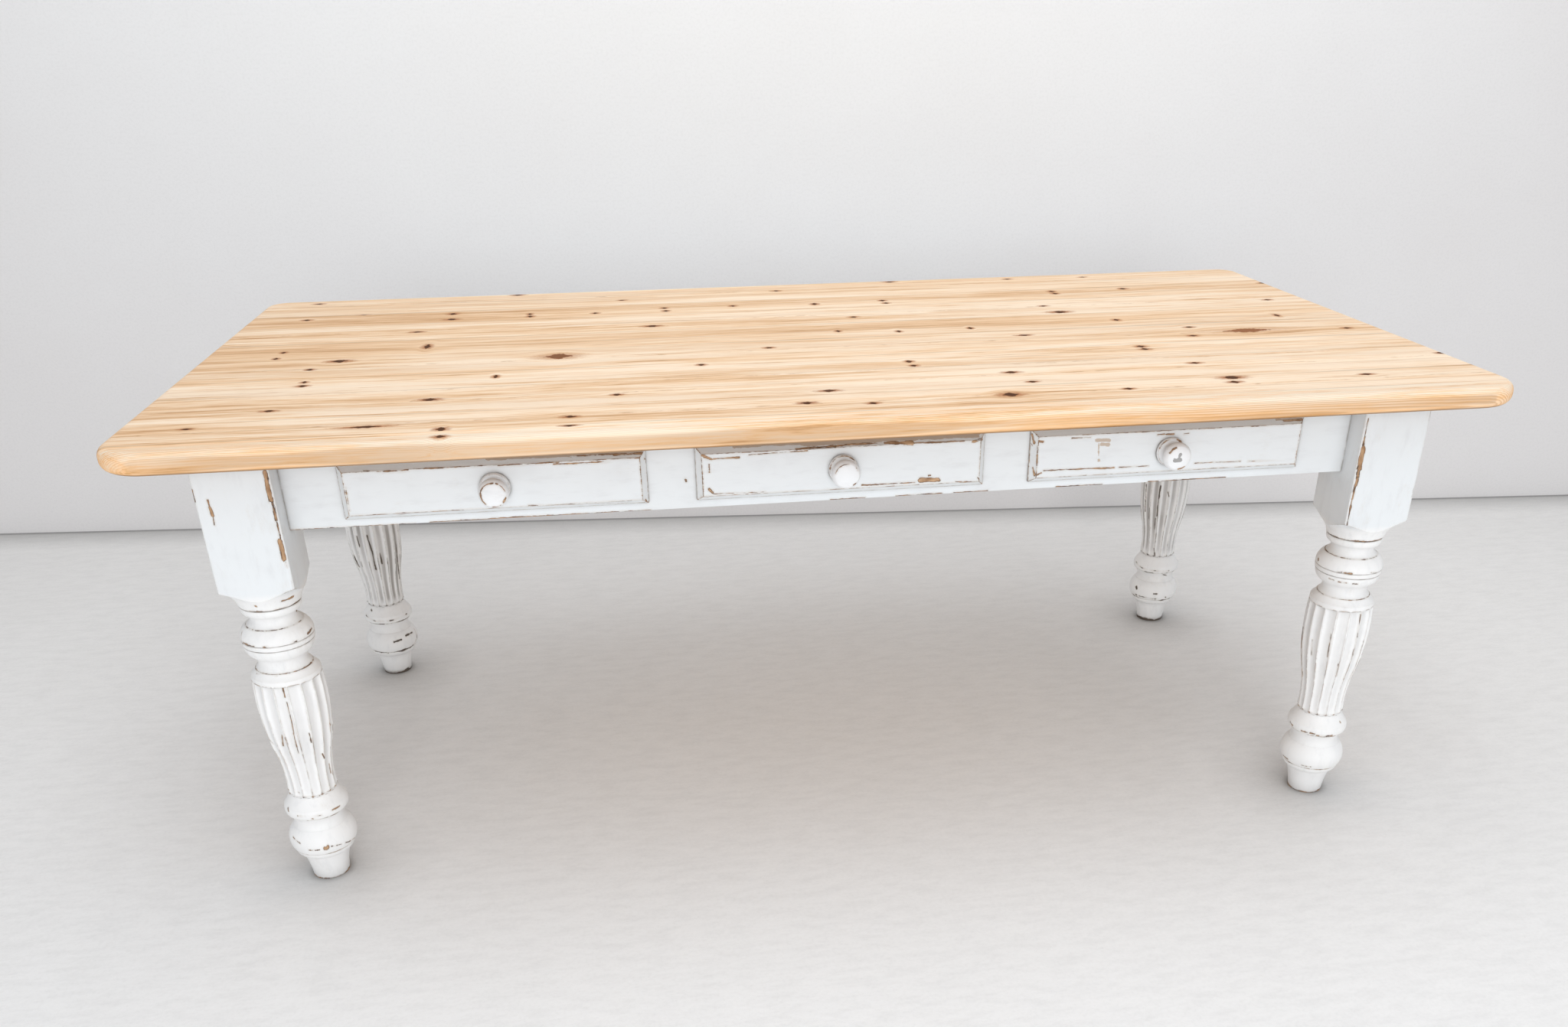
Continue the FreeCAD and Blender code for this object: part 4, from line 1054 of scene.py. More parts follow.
@dataclass(frozen=True)
class Plaster:
    """The plain pale floor or wall that the table stands by, with a painted pool of light, and painted
    shade at its foot and beside what stands on it.

    Args:
        name: The material's name.
        near: Colour in the middle of the painted pool of light.
        far: Colour away from it.
        middle: The painted pool of light's middle on the sheet, in metres.
        reach: How far the painted pool of light goes each way, in metres.
        foot_shade_height: Height of the painted shade line where the wall meets the floor, in metres.
        contact_shadows: The painted shadows beside something that stands on it: how dark each is, with its
            reach.
        one_sided: Whether it can't be seen from behind.
        mottle: How dark its specks are.
        streaks: How dark its broader streaks are.
        roughness: Of the surface.
        relief: Strength and depth in metres of its relief.
        foot: Colour of the specks and the streaks, and of the painted shade line at the foot and the
            painted shadows round what stands on it.
        foot_shade_share: How dark the painted shade line at the foot is.
        contact_samples: Rays for each look at what stands on it.
    """

    name: str
    near: Colour
    far: Colour
    middle: tuple[float, float]
    reach: tuple[float, float]
    foot_shade_height: float = 0.0
    contact_shadows: tuple[tuple[float, float], ...] = ()
    one_sided: bool = False
    mottle: float = 0.05
    streaks: float = 0.0
    roughness: float = 0.85
    relief: Span = (0.08, 0.0005)
    foot: Colour = (0.10, 0.095, 0.09)
    foot_shade_share: float = 0.6
    contact_samples: int = 8

    def build(self) -> bpy.types.Material:
        """Make the material."""
        material, g, shader = new_material(self.name)
        place = g.place()
        fine = g.noise(place, PLASTER_SPECKS)
        # Painted light: a brighter pool about the middle, broken up by clouds.
        away = g.vector("SUBTRACT", place, (*self.middle, 0.0))
        away = g.vector("DIVIDE", away, (*self.reach, 1.0))
        share = g.onset(g.vector("LENGTH", away), LIGHT_POOL_END)
        cloud = g.math("SUBTRACT", g.noise(place, PLASTER_CLOUDS), MEAN)
        share = g.math("MULTIPLY_ADD", cloud, CLOUDY_LIGHT_POOL, share, clamp=True)
        colour = g.mix(share, self.near, self.far)
        colour = g.blend(self.mottle, g.onset(fine, SPECKS), colour, self.foot)
        streak = g.onset(g.noise(place, PLASTER_STREAKS), BROAD_STREAKS)
        colour = g.blend(self.streaks, streak, colour, self.foot)
        # Painted shade: a dark line along the wall's foot.
        if self.foot_shade_height:
            _, height, _ = g.split(place)
            line = smooth_mask(g, height, self.foot_shade_height, FOOT_SHADE_BLEND * self.foot_shade_height)
            colour = g.blend(self.foot_shade_share, line, colour, self.foot)
        # Painted shadows: darker where something stands close by.
        for strength, reach in self.contact_shadows:
            beside = g.hidden(reach, self.contact_samples)
            colour = g.blend(strength, beside, colour, self.foot)
        g.feed(shader.inputs["Base Color"], colour)
        shader.inputs["Roughness"].default_value = self.roughness
        if self.one_sided:
            behind = g.node("ShaderNodeNewGeometry").outputs["Backfacing"]
            g.feed(shader.inputs["Alpha"], g.math("SUBTRACT", 1.0, behind))
        g.feed(shader.inputs["Normal"], bump(g, fine, *self.relief))
        return material


def new_material(name: str) -> tuple[bpy.types.Material, Graph, bpy.types.Node]:
    """Return a new material, its graph and its Principled BSDF."""
    material = bpy.data.materials.new(name)
    material.use_nodes = True
    return material, Graph(material.node_tree), material.node_tree.nodes["Principled BSDF"]


def bump(g: Graph, height: Socket, strength: float, distance: float) -> Socket:
    """Return the normal of a surface with the given height on it.

    Args:
        g: The material's graph.
        height: 0 to 1 over the surface.
        strength: Share of the effect.
        distance: Metres that a height of 1 stands for.
    """
    made = g.node("ShaderNodeBump")
    made.inputs["Strength"].default_value = strength
    made.inputs["Distance"].default_value = distance
    g.feed(made.inputs["Height"], height)
    return made.outputs["Normal"]


@dataclass
class SharedGroups:
    """The node groups that several finishes use, each built once.

    Args:
        knot: One knot of a board.
        grain: The wood of a board.
        dashes: A broken brown line along a board.
        joint: The line where two boards meet.
        chip: One chip in the paint.
        ring: A worn line round a leg.
        flutes: Painted shade along a leg's flutes.
        wear: Paint rubbed away along the edges.
        paint: The paint and the wood under it.
    """

    knot: bpy.types.NodeTree = field(default_factory=knot_group)
    grain: bpy.types.NodeTree = field(default_factory=grain_group)
    dashes: bpy.types.NodeTree = field(default_factory=dash_group)
    joint: bpy.types.NodeTree = field(default_factory=joint_group)
    chip: bpy.types.NodeTree = field(default_factory=chip_group)
    ring: bpy.types.NodeTree = field(default_factory=ring_group)
    flutes: bpy.types.NodeTree = field(default_factory=flute_group)
    wear: bpy.types.NodeTree = field(default_factory=wear_group)
    paint: bpy.types.NodeTree = field(default_factory=paint_group)


# ---------------------------------------------------------------- where the paint is chipped

LEG_CHIPS: dict[str, tuple[Chip, ...]] = {
    "leg_front_left": (
        *on_face(-450.5, (-837, 720, -838, 700, 2.6), (-838, 700, -838, 677, 3.6),
                 (-837, 677, -836.5, 648, 1.8), (-836.5, 646, -836, 624, 1.2),
                 (-837, 616, -837, 588, 3.2), (-836, 720, -836, 575, 0.7)),
        *on_face(-451, (-923.5, 683, -922.5, 671.5, 1.2), (-923, 671.5, -922.5, 661, 2.5),
                 (-922, 659.5, -922.5, 646, 0.5)),
        *on_face(-450.5, (-943, 698, -943, 683, 2.2), (-943.5, 640, -943.5, 617, 1.3),
                 (-943.5, 601, -943.5, 598, 1.2)),
        Chip((-857, -438, 517), (-845, -426, 517.5), 2.1),
        Chip((-895, -445.5, 514.5), (-894, -445.5, 514), 1.3),
        Chip((-851.5, -399, 484), (-852.5, -392, 480.5), 1.4),
        Chip((-930, -429.5, 449), (-912, -444.5, 448), 1.4),
        Chip((-896, -449.5, 448), (-850.5, -436.5, 448.5), 1.5),
        Chip((-837, -417, 451.5), (-833.5, -402.5, 454), 1.8),
        Chip((-931.5, -419.5, 462.5), (-933, -425, 444.5), 0.5),
        Chip((-924, -422.5, 392.5), (-889, -440, 394.5), 0.3),
        Chip((-883, -445, 375), (-883, -446, 359.5), 1.2),
        Chip((-881.5, -447, 350.5), (-881.5, -447, 331.5), 0.8),
        Chip((-881, -447.5, 329), (-882.5, -445, 294.5), 0.8),
        Chip((-883.5, -444.5, 294.5), (-884, -441.5, 267.5), 1.2),
        Chip((-884, -441.5, 267.5), (-884.5, -439, 255), 0.4),
        Chip((-861.5, -439, 289.5), (-862, -437, 271.5), 0.9),
        Chip((-902, -442, 290.5), (-905.5, -437.5, 270), 0.8),
        Chip((-854, -421.5, 240.5), (-853, -419.5, 231), 0.8),
        Chip((-836, -406, 287.5), (-840, -391.5, 277), 0.8),
        Chip((-851, -406.5, 213), (-852, -406, 195), 0.5),
        Chip((-928.5, -424.5, 274.5), (-924, -424.5, 267.5), 0.4),
        Chip((-923.5, -406.5, 164), (-919, -418, 169), 1),
        Chip((-902, -429, 177), (-901, -429, 175.5), 0.9),
        Chip((-880.5, -433.5, 169), (-880, -432, 166.5), 1),
        Chip((-871, -429, 168), (-870, -428.5, 166.5), 0.8),
        Chip((-854, -434.5, 141), (-844, -423, 141), 1.5),
        Chip((-907.5, -442.5, 140), (-871, -444, 138.5), 1),
        Chip((-884.5, -446.5, 134.5), (-883.5, -446, 134), 1),
        Chip((-925, -426.5, 147), (-924, -430, 143), 0.7),
        Chip((-927, -429.5, 91.5), (-914.5, -442, 86.5), 0.9),
        Chip((-865, -445.5, 77.5), (-851, -436.5, 74.5), 0.7),
        Chip((-874.5, -449, 77.5), (-874, -448.5, 76.5), 4.8),
        Chip((-900.5, -448.5, 75.5), (-884, -450, 75.5), 0.9),
        Chip((-845, -430, 72.5), (-836.5, -407.5, 66), 1.1),
        Chip((-939.5, -407.5, 312.5), (-931.5, -425.5, 299.5), 0.7),
    ),
    "leg_front_right": (
        *on_face(-450.5, (836, 715, 836, 686, 0.7), (836.5, 686, 836.5, 668, 1.5),
                 (837, 666, 838, 634, 4), (837.5, 634, 837, 606, 2.6), (836.5, 604, 836.5, 583, 1.9),
                 (836, 583, 835.5, 524, 0.9), (836, 571, 836, 567, 1.7), (943.5, 676, 943.5, 673, 1.4),
                 (944, 657, 944, 625, 1), (944, 600, 944, 530, 0.6)),
        Chip((846.5, -431.5, 447), (853.5, -439, 449), 0.9),
        Chip((854.5, -439.5, 448.5), (864.5, -445.5, 448), 1.6),
        Chip((898, -449.5, 449.5), (910, -444, 446.5), 0.8),
        Chip((841, -421, 431.5), (846, -428, 431), 0.7),
        Chip((851.5, -433.5, 430), (862.5, -441.5, 430), 0.8),
        Chip((871.5, -445, 429.5), (879, -447, 429), 0.7),
        Chip((834, -387, 455), (833, -390.5, 453.5), 1.2),
        Chip((855.5, -438, 333), (857, -437, 290), 0.8),
        Chip((895.5, -448, 372), (897, -449.5, 334), 0.7),
        Chip((897.5, -449.5, 332.5), (901, -443, 291), 1),
        Chip((900.5, -443, 286), (895.5, -439.5, 243), 0.7),
        Chip((876, -444, 277), (880, -440, 252), 0.7),
        Chip((838.5, -410.5, 311.5), (842, -411, 281.5), 0.4),
        Chip((836.5, -393.5, 138), (837, -402, 135.5), 1.2),
        Chip((844.5, -423, 134.5), (850.5, -431, 135), 1.1),
        Chip((854.5, -434.5, 135.5), (861, -439.5, 135.5), 1),
        Chip((865, -441, 133), (891.5, -446, 133.5), 1.5),
        Chip((908.5, -434, 154), (910, -434.5, 152.5), 1),
        Chip((834.5, -395, 68), (836, -409.5, 68), 1),
        Chip((851, -434.5, 68), (864, -443.5, 68.5), 0.5),
        Chip((842, -368, 316), (845, -369, 276.5), 0.8),
    ),
    "leg_back_left": (
        Chip((-912, 351, 333), (-911, 351.5, 309), 0.9),
        Chip((-890, 345.5, 336), (-886.5, 347.5, 296), 1.3),
        Chip((-886.5, 347.5, 296), (-886, 353, 256), 1.2),
        Chip((-930, 367, 286), (-923, 368.5, 258), 0.9),
        Chip((-871.5, 350, 292), (-871.5, 353.5, 268), 1.3),
        Chip((-841, 378, 306), (-848, 388, 218), 0.8),
        Chip((-929, 369, 145), (-907, 349, 138), 1),
        Chip((-907, 349, 138), (-871, 347.5, 138), 1.1),
        Chip((-871, 347.5, 138), (-843, 371, 141.5), 1),
        Chip((-915, 366, 158), (-914, 364, 157), 1.6),
        Chip((-874, 344.5, 87.5), (-860, 350.5, 89.5), 1.9),
        Chip((-850, 361, 94), (-840, 376, 93.5), 2),
        Chip((-836.5, 391.5, 94.5), (-833, 388, 76), 1),
        Chip((-833, 388, 76), (-843, 370.5, 63.5), 1),
        Chip((-922, 363, 60), (-891, 348, 60.5), 0.8),
        Chip((-891, 348, 60.5), (-847, 368, 61), 0.7),
    ),
    "leg_back_right": (
        Chip((856, 351, 344), (858.5, 357.5, 270), 1.9),
        Chip((844.5, 371, 285), (848, 376, 257), 1.1),
        Chip((873, 346, 330), (875, 343, 320.5), 1),
        Chip((858, 362, 262), (861, 366, 235), 1.1),
        Chip((865, 366, 187), (868, 363.5, 169), 1.2),
        Chip((835, 383.5, 338), (840, 384.5, 273), 1),
        Chip((837, 394, 144.5), (843.5, 370, 138), 1.1),
        Chip((843.5, 370, 138), (868, 349, 137.5), 1.2),
        Chip((868, 349, 137.5), (900.5, 347.5, 136), 1),
        Chip((889.5, 352, 125), (901, 357, 120.5), 1.4),
        Chip((837, 376.5, 87), (838, 373, 84.5), 3),
        Chip((837.5, 377, 68), (850.5, 358, 68.5), 1.6),
        Chip((850.5, 358, 68.5), (875.5, 345, 66.5), 1.3),
        Chip((869.5, 344.5, 80.5), (876, 342.5, 81), 1.4),
        Chip((898, 343.5, 71), (900, 344.5, 69.5), 1.4),
    ),
}

FRAME_CHIPS: tuple[Chip, ...] = on_face(
    -409, (-241, 662, -240.5, 659.5, 1.4), (-832, 617, -752, 617, 0.6), (-752, 617, -650, 617, 0.4),
    (-628, 617, -583, 617, 0.9), (-583, 617, -445, 617, 1.4), (-445, 617, -355, 617, 0.9),
    (-355, 617, -297, 617, 0.6), (-834.5, 715, -834.5, 618, 1.5), (834.5, 715, 834.5, 618, 1.3),
    (-17, 617.5, 38, 617.5, 0.6), (87, 617.5, 161, 617.5, 0.6), (180, 617.5, 235, 617.5, 0.7),
    (348, 617.5, 424, 617.5, 0.8), (502, 617.5, 632, 617.5, 0.7),
)

DRAWER_CHIPS: dict[str, tuple[Chip, ...]] = {
    "left_drawer_front": (
        Chip((-708, -423.5, 706.5), (-681, -425.5, 703.5), 1),
        Chip((-681, -425.5, 703.5), (-645, -425, 705), 1.6),
        Chip((-637, -425, 705.5), (-538.5, -425, 705), 0.8),
        *on_face(-425.5, (-516, 704.5, -427, 704.5, 1.1), (-435, 702, -371, 701.5, 1.4)),
        Chip((-371, -425.5, 702), (-300.5, -414.5, 700), 1.3),
        Chip((-400, -418, 711), (-345, -418, 711), 1.2),
        Chip((-345, -419, 710.5), (-306, -419, 710), 2.2),
        Chip((-737.5, -425.5, 683), (-738, -425.5, 647), 0.5),
        Chip((-479, -425.5, 640.5), (-400, -421.5, 636.5), 0.4),
        Chip((-388.5, -421.5, 636.5), (-305.5, -414.5, 631.5), 0.4),
        Chip((-304, -419.5, 637.5), (-302, -416.5, 634), 1),
        Chip((-672, -419.5, 635), (-662, -419.5, 635), 0.5),
    ),
    "centre_drawer_front": (
        *on_face(-425.5, (-214.5, 703.5, -201, 697, 2), (-197.5, 697.5, -159.5, 697.5, 1.3),
                 (-205, 689, -205, 677, 0.8), (-144, 701, -54.5, 702.5, 0.7)),
        Chip((-72, -424, 706.5), (-25, -423, 707), 1.5),
        Chip((-25, -423, 707), (35, -422, 708.5), 2),
        Chip((35, -422, 708.5), (66, -422, 708.5), 1.6),
        Chip((66, -422, 707.5), (106, -423, 706.5), 4),
        Chip((106, -424.5, 705.5), (190, -425, 705), 1.1),
        Chip((203.5, -425.5, 704), (219, -421, 705), 2),
        *on_face(-425.5, (30, 643.5, 113.5, 643, 0.9), (123, 646.5, 151, 646, 3.4),
                 (135, 653, 137.5, 653, 1.3)),
        Chip((178.5, -425.5, 640.5), (218.5, -421.5, 638.5), 0.8),
        Chip((213.5, -425.5, 645.5), (216.5, -425, 642.5), 0.8),
        Chip((-206.5, -425.5, 649.5), (-202, -425.5, 645.5), 1.9),
        Chip((-219, -421, 638.5), (-208.5, -421, 636), 0.6),
        Chip((-200.5, -425.5, 642.5), (-120.5, -425.5, 641), 0.3),
    ),
    "right_drawer_front": (
        Chip((712, -419, 709.5), (743, -419, 709.5), 1.7),
        Chip((743, -419, 706), (746, -416, 640), 0.7),
        Chip((300, -414, 706), (303.5, -418.5, 694), 1.9),
        Chip((308.5, -425.5, 699.5), (314.5, -425.5, 697.5), 1.6),
        Chip((300.5, -414.5, 691.5), (301, -415.5, 689.5), 1),
        Chip((307, -424, 690.5), (308, -425, 659), 0.7),
        Chip((304, -419, 655), (306, -422.5, 643.5), 2),
        Chip((308, -425, 644), (316, -425.5, 647.5), 0.9),
        *on_face(-425.5, (501, 699, 512, 699.5, 1), (515.5, 699, 527.5, 699, 1),
                 (545, 698.5, 552.5, 699, 0.9), (568.5, 649.5, 645.5, 648.5, 0.5)),
        Chip((658.5, -425.5, 648), (744, -420, 645), 0.6),
        *on_face(-425.5, (319.5, 651, 435, 649.5, 0.8), (443.5, 649.5, 492, 649.5, 0.5),
                 (361.5, 701, 392, 700.5, 0.5)),
    ),
}

KNOB_WEAR: dict[str, tuple[Arc, ...]] = {
    "left_drawer_knob": (
        Arc(Ring.RIM, 15, 60, 0.7), Arc(Ring.RIM, 62, 70, 1.3), Arc(Ring.RIM, 84, 92, 1.2),
        Arc(Ring.RIM, 96, 160, 0.9), Arc(Ring.RIM, 164, 200, 1.4), Arc(Ring.RIM, 202, 226, 1.0),
        Arc(Ring.RIM, 262, 300, 0.9), Arc(Ring.RIM, 318, 346, 1.3), Arc(Ring.HEAD, 64, 76, 1.2),
        Arc(Ring.HEAD, 90, 150, 0.4),
    ),
    "centre_drawer_knob": (
        Arc(Ring.COLLAR, 40, 172, 0.8), Arc(Ring.HEAD, 50, 150, 0.8), Arc(Ring.RIM, 82, 165, 0.4),
        Arc(Ring.RIM, 306, 316, 1.2), Arc(Ring.RIM, 28, 40, 0.6),
    ),
    "right_drawer_knob": (
        Arc(Ring.COLLAR, 50, 68, 2.2), Arc(Ring.COLLAR, 100, 160, 0.6), Arc(Ring.RIM, 112, 152, 1.0),
        Arc(Ring.RIM, 274, 304, 1.4),
    ),
}

DRAWER_STAINS: dict[str, tuple[Chip, ...]] = {
    "left_drawer_front": (
        Chip((-530, -416, 713), (-306, -416, 713), 3.5),
    ),
    "centre_drawer_front": (
        Chip((-165, -416, 712), (-60, -416, 712), 2.5),
        Chip((-60, -417, 711), (212, -417, 711), 5),
    ),
    "right_drawer_front": (
        Chip((700, -417, 711), (742, -417, 711), 2.5),
        *on_face(-425.5, (401.5, 695, 423, 693.5, 2.4), (410.5, 689, 422, 687.5, 2.8),
                 (406, 690, 407.5, 671, 1.3), (408.5, 664, 409, 663, 2.2)),
    ),
    "right_drawer_knob": (
        Chip((521, -467.5, 671), (524, -467.5, 679), 2.2),
        Chip((516, -467.5, 669), (524, -468, 670.5), 3),
    ),
}


# ---------------------------------------------------------------- the table's assemblies


def dress(piece: bpy.types.Object, material: bpy.types.Material) -> None:
    """Give a piece one material in all its slots."""
    if not piece.data.materials:
        piece.data.materials.append(material)
    for place in piece.material_slots:
        place.link = "DATA"
        place.material = material


def box_mm(piece: bpy.types.Object) -> tuple[Vector, Vector, Vector]:
    """Return a piece's lowest corner, its middle and its highest corner, in millimetres."""
    corners = [Vector(corner) / MM for corner in piece.bound_box]
    low, high = (Vector([pick(values) for values in zip(*corners)]) for pick in (min, max))
    return low, sum(corners, Vector()) / len(corners), high


@dataclass
class Tabletop:
    """The boards of the top.

    Args:
        nodes: The table's pieces by name.
        boards: Their wood, from the back edge to the front.
    """

    nodes: dict[str, bpy.types.Object]
    boards: tuple[Pine, ...] = (
        Pine("board_1", 0.23, 455, 70, 0.7, 0.02, knots=(
            Knot(-934, 505, 6, 5), Knot(-536, 525, 7, 6), Knot(-320, 425, 5, 4), Knot(2, 466, 5, 5),
            Knot(256, 523, 7, 6), Knot(513, 505, 5, 5), Knot(680, 497, 5, 4), Knot(905, 538, 5, 5)),
            dashes=(470,)),
        Pine("board_2", 0.43, 318, 40, 0.8, 0.12, knots=(
            Knot(-925, 338, 5, 6), Knot(-823, 373, 6, 6), Knot(-650, 346, 5, 8), Knot(-647, 292, 7, 7),
            Knot(-500, 315, 3, 7), Knot(-498, 292, 4, 7), Knot(-373, 300, 4, 6), Knot(-238, 325, 4, 6),
            Knot(-236, 296, 4, 6), Knot(-102, 320, 4, 6), Knot(61, 308, 4, 9), Knot(201, 318, 4, 7),
            Knot(203, 290, 4, 6), Knot(563, 345, 4, 7), Knot(563, 322, 4, 6), Knot(717, 347, 5, 7),
            Knot(1026, 352, 5, 5))),
        Pine("board_3", 0.23, 190, 30, 0.9, knots=(
            Knot(-698, 185, 7, 5), Knot(-267, 155, 9, 7), Knot(116, 165, 5, 5), Knot(500, 200, 5, 5),
            Knot(514, 137, 10, 9), Knot(954, 175, 5, 5)), dashes=(196,)),
        Pine("board_4", 0.42, 45, 55, 0.7, 0.08, knots=(
            Knot(-907, 52, 3, 6), Knot(-910, 5, 3, 7), Knot(-664, 55, 4, 16), Knot(67, 45, 3, 7),
            Knot(175, 22, 3, 7), Knot(309, 25, 3, 8), Knot(594, 45, 4, 7), Knot(903, 28, 3, 9))),
        Pine("board_5", 0.29, -85, 35, 0.8, 0.07, knots=(
            Knot(-798, -33, 10, 9), Knot(-836, -88, 4, 6), Knot(-432, -65, 16, 17, 0.6),
            Knot(-72, -67, 5, 5), Knot(388, -52, 7, 5), Knot(701, -42, 5, 5), Knot(679, -112, 5, 5),
            Knot(790, -88, 34, 14, 0.35), Knot(974, -102, 5, 5)), dashes=(-85,)),
        Pine("board_6", 0.13, -205, 45, 0.9, 0.0, knots=(
            Knot(-827, -175, 3, 6), Knot(-825, -200, 5, 6), Knot(-527, -192, 3, 9), Knot(-196, -172, 4, 6),
            Knot(145, -212, 4, 7), Knot(147, -242, 4, 6), Knot(558, -176, 5, 7), Knot(558, -197, 5, 6))),
        Pine("board_7", 0.22, -330, 28, 1.0, knots=(
            Knot(-843, -347, 6, 5), Knot(-615, -322, 8, 7), Knot(-335, -343, 5, 5), Knot(-14, -378, 8, 6),
            Knot(290, -315, 7, 6), Knot(306, -380, 5, 5), Knot(600, -308, 6, 5), Knot(1026, -315, 5, 5)),
            dashes=(-330, -262)),
        Pine("board_8", 0.30, -452, 32, 1.0, 0.10, knots=(
            Knot(-937, -427, 5, 4), Knot(-687, -460, 17, 5), Knot(-580, -491, 5, 9),
            Knot(-402, -457, 6, 5), Knot(-57, -443, 7, 6), Knot(39, -462, 5, 5), Knot(251, -450, 9, 10),
            Knot(618, -410, 10, 9), Knot(610, -438, 6, 6), Knot(436, -448, 5, 5),
            Knot(832, -428, 6, 5)), dashes=(-450,)),
        Pine("board_9", 0.22, -640, 90, 1.0, 0.20, ring_width=2.4, ring_share=0.6, knots=(
            Knot(-402, -503, 6, 5), Knot(-577, -528, 5, 6)),
            golden_edge=0.38, pale=(1.0, 0.87, 0.70), tan=(1.0, 0.70, 0.44), brown=(0.74, 0.42, 0.18)),
    )

    def build(self, shared: SharedGroups) -> None:
        """Dress each board in its own wood."""
        for number, wood in enumerate(self.boards, 1):
            piece = self.nodes[f"top_board_{number}"]
            across = [corner[1] for corner in piece.bound_box]
            dress(piece, wood.build(shared, (min(across), max(across))))
        log.info("top: %d boards", len(self.boards))


@dataclass
class Legs:
    """The four turned and fluted legs, each with the chips in its paint.

    Args:
        nodes: The table's pieces by name.
        chips: The bare places of each leg.
        bands: The worn lines round the front legs.
        back_bands: The worn lines round the back legs, wider than on the front ones, which also paints the
            dark shade under their beads.
        block_foot: Height where the square block ends, in millimetres.
        front_flute_shade: How dark the painted shade in the flutes of the front legs is.
        back_flute_shade: How dark that of the back legs is.
        back_crease_shading: How strong the painted shade in the other hollows of the back legs is.
        back_hollow_reach: How wide these may be, in metres.
        back_lit_white: Paint of the back legs, whiter than the front legs' paint so that they read lighter
            in the shade under the table, as painted light.
        back_shaded_wood: Bare wood of the back legs, far darker than on the front legs, which paints shade
            into their chips and worn lines.
        back_shaded_rim: Its darker fibres and the line round it, as dark, for the same painted shade.
    """

    nodes: dict[str, bpy.types.Object]
    chips: dict[str, tuple[Chip, ...]] = field(default_factory=lambda: LEG_CHIPS)
    bands: tuple[Band, ...] = (
        Band(1, 29.5, 2.6), Band(62, 49.8, 1.1), Band(129.5, 48.5, 1.2), Band(169, 39, 0.8),
        Band(396, 43, 0.6), Band(470, 42.5, 0.6), Band(503, 45.5, 1.1),
    )
    back_bands: tuple[Band, ...] = (
        Band(1, 29.5, 3.2), Band(62, 49.8, 1.7), Band(129.5, 48.5, 1.5), Band(169, 39, 0.8),
    )
    block_foot: float = 536.0
    front_flute_shade: float = 0.14
    back_flute_shade: float = 0.75
    back_crease_shading: float = 1.6
    back_hollow_reach: float = 0.012
    back_lit_white: Colour = (0.97, 0.97, 0.96)
    back_shaded_wood: Colour = (0.13, 0.105, 0.085)
    back_shaded_rim: Colour = (0.10, 0.08, 0.065)

    def build(self, shared: SharedGroups) -> None:
        """Paint each leg, with more painted shade in the grooves of the back ones."""
        for name, chips in self.chips.items():
            _, middle, _ = box_mm(self.nodes[name])
            paint = Paint(f"{name}_paint", chips=chips, bands=self.bands, axis=(middle.x, middle.y),
                          flute_shade=self.front_flute_shade, turned_below=self.block_foot)
            if "back" in name:
                paint = replace(paint, bands=self.back_bands, soil=self.back_crease_shading,
                                hollow_reach=self.back_hollow_reach,
                                flute_shade=self.back_flute_shade, white=self.back_lit_white, wood=self.back_shaded_wood,
                                dark_wood=self.back_shaded_rim, rim=self.back_shaded_rim)
            dress(self.nodes[name], paint.build(shared))
        log.info("legs: %d", len(self.chips))


@dataclass
class Frame:
    """The aprons, the front frame and what carries the drawers.

    Args:
        nodes: The table's pieces by name.
        painted: The pieces that are painted.
        bare: The kinds of piece that carry a drawer's side.
        places: Where each kind is found.
    """

    nodes: dict[str, bpy.types.Object]
    painted: tuple[str, ...] = (
        "front_bottom_rail", "front_top_rail", "back_apron", "left_apron", "right_apron",
        "front_left_stile", "front_left_muntin", "front_right_muntin", "front_right_stile",
    )
    bare: tuple[str, ...] = ("runner", "guide", "kicker")
    places: tuple[str, ...] = ("left_end", "left_middle", "right_middle", "right_end")

    def build(self, shared: SharedGroups) -> None:
        """Paint the frame and leave the carriage bare."""
        paint = Paint("frame_paint", ALONG_X, worn_edges=False, chips=FRAME_CHIPS).build(shared)
        for name in self.painted:
            dress(self.nodes[name], paint)
        wood = Pine("carriage_pine", tone=0.5, pith_y=0, pith_depth=140, roughness=0.7,
                    underside_height=0.0, fibres_along_y=True).build(shared)
        for place in self.places:
            for kind in self.bare:
                dress(self.nodes[f"{place}_{kind}"], wood)
        dress(self.nodes["top_buttons"], wood)
        dress(self.nodes["button_screws"], Steel().build())
        log.info("frame: %d painted pieces", len(self.painted))


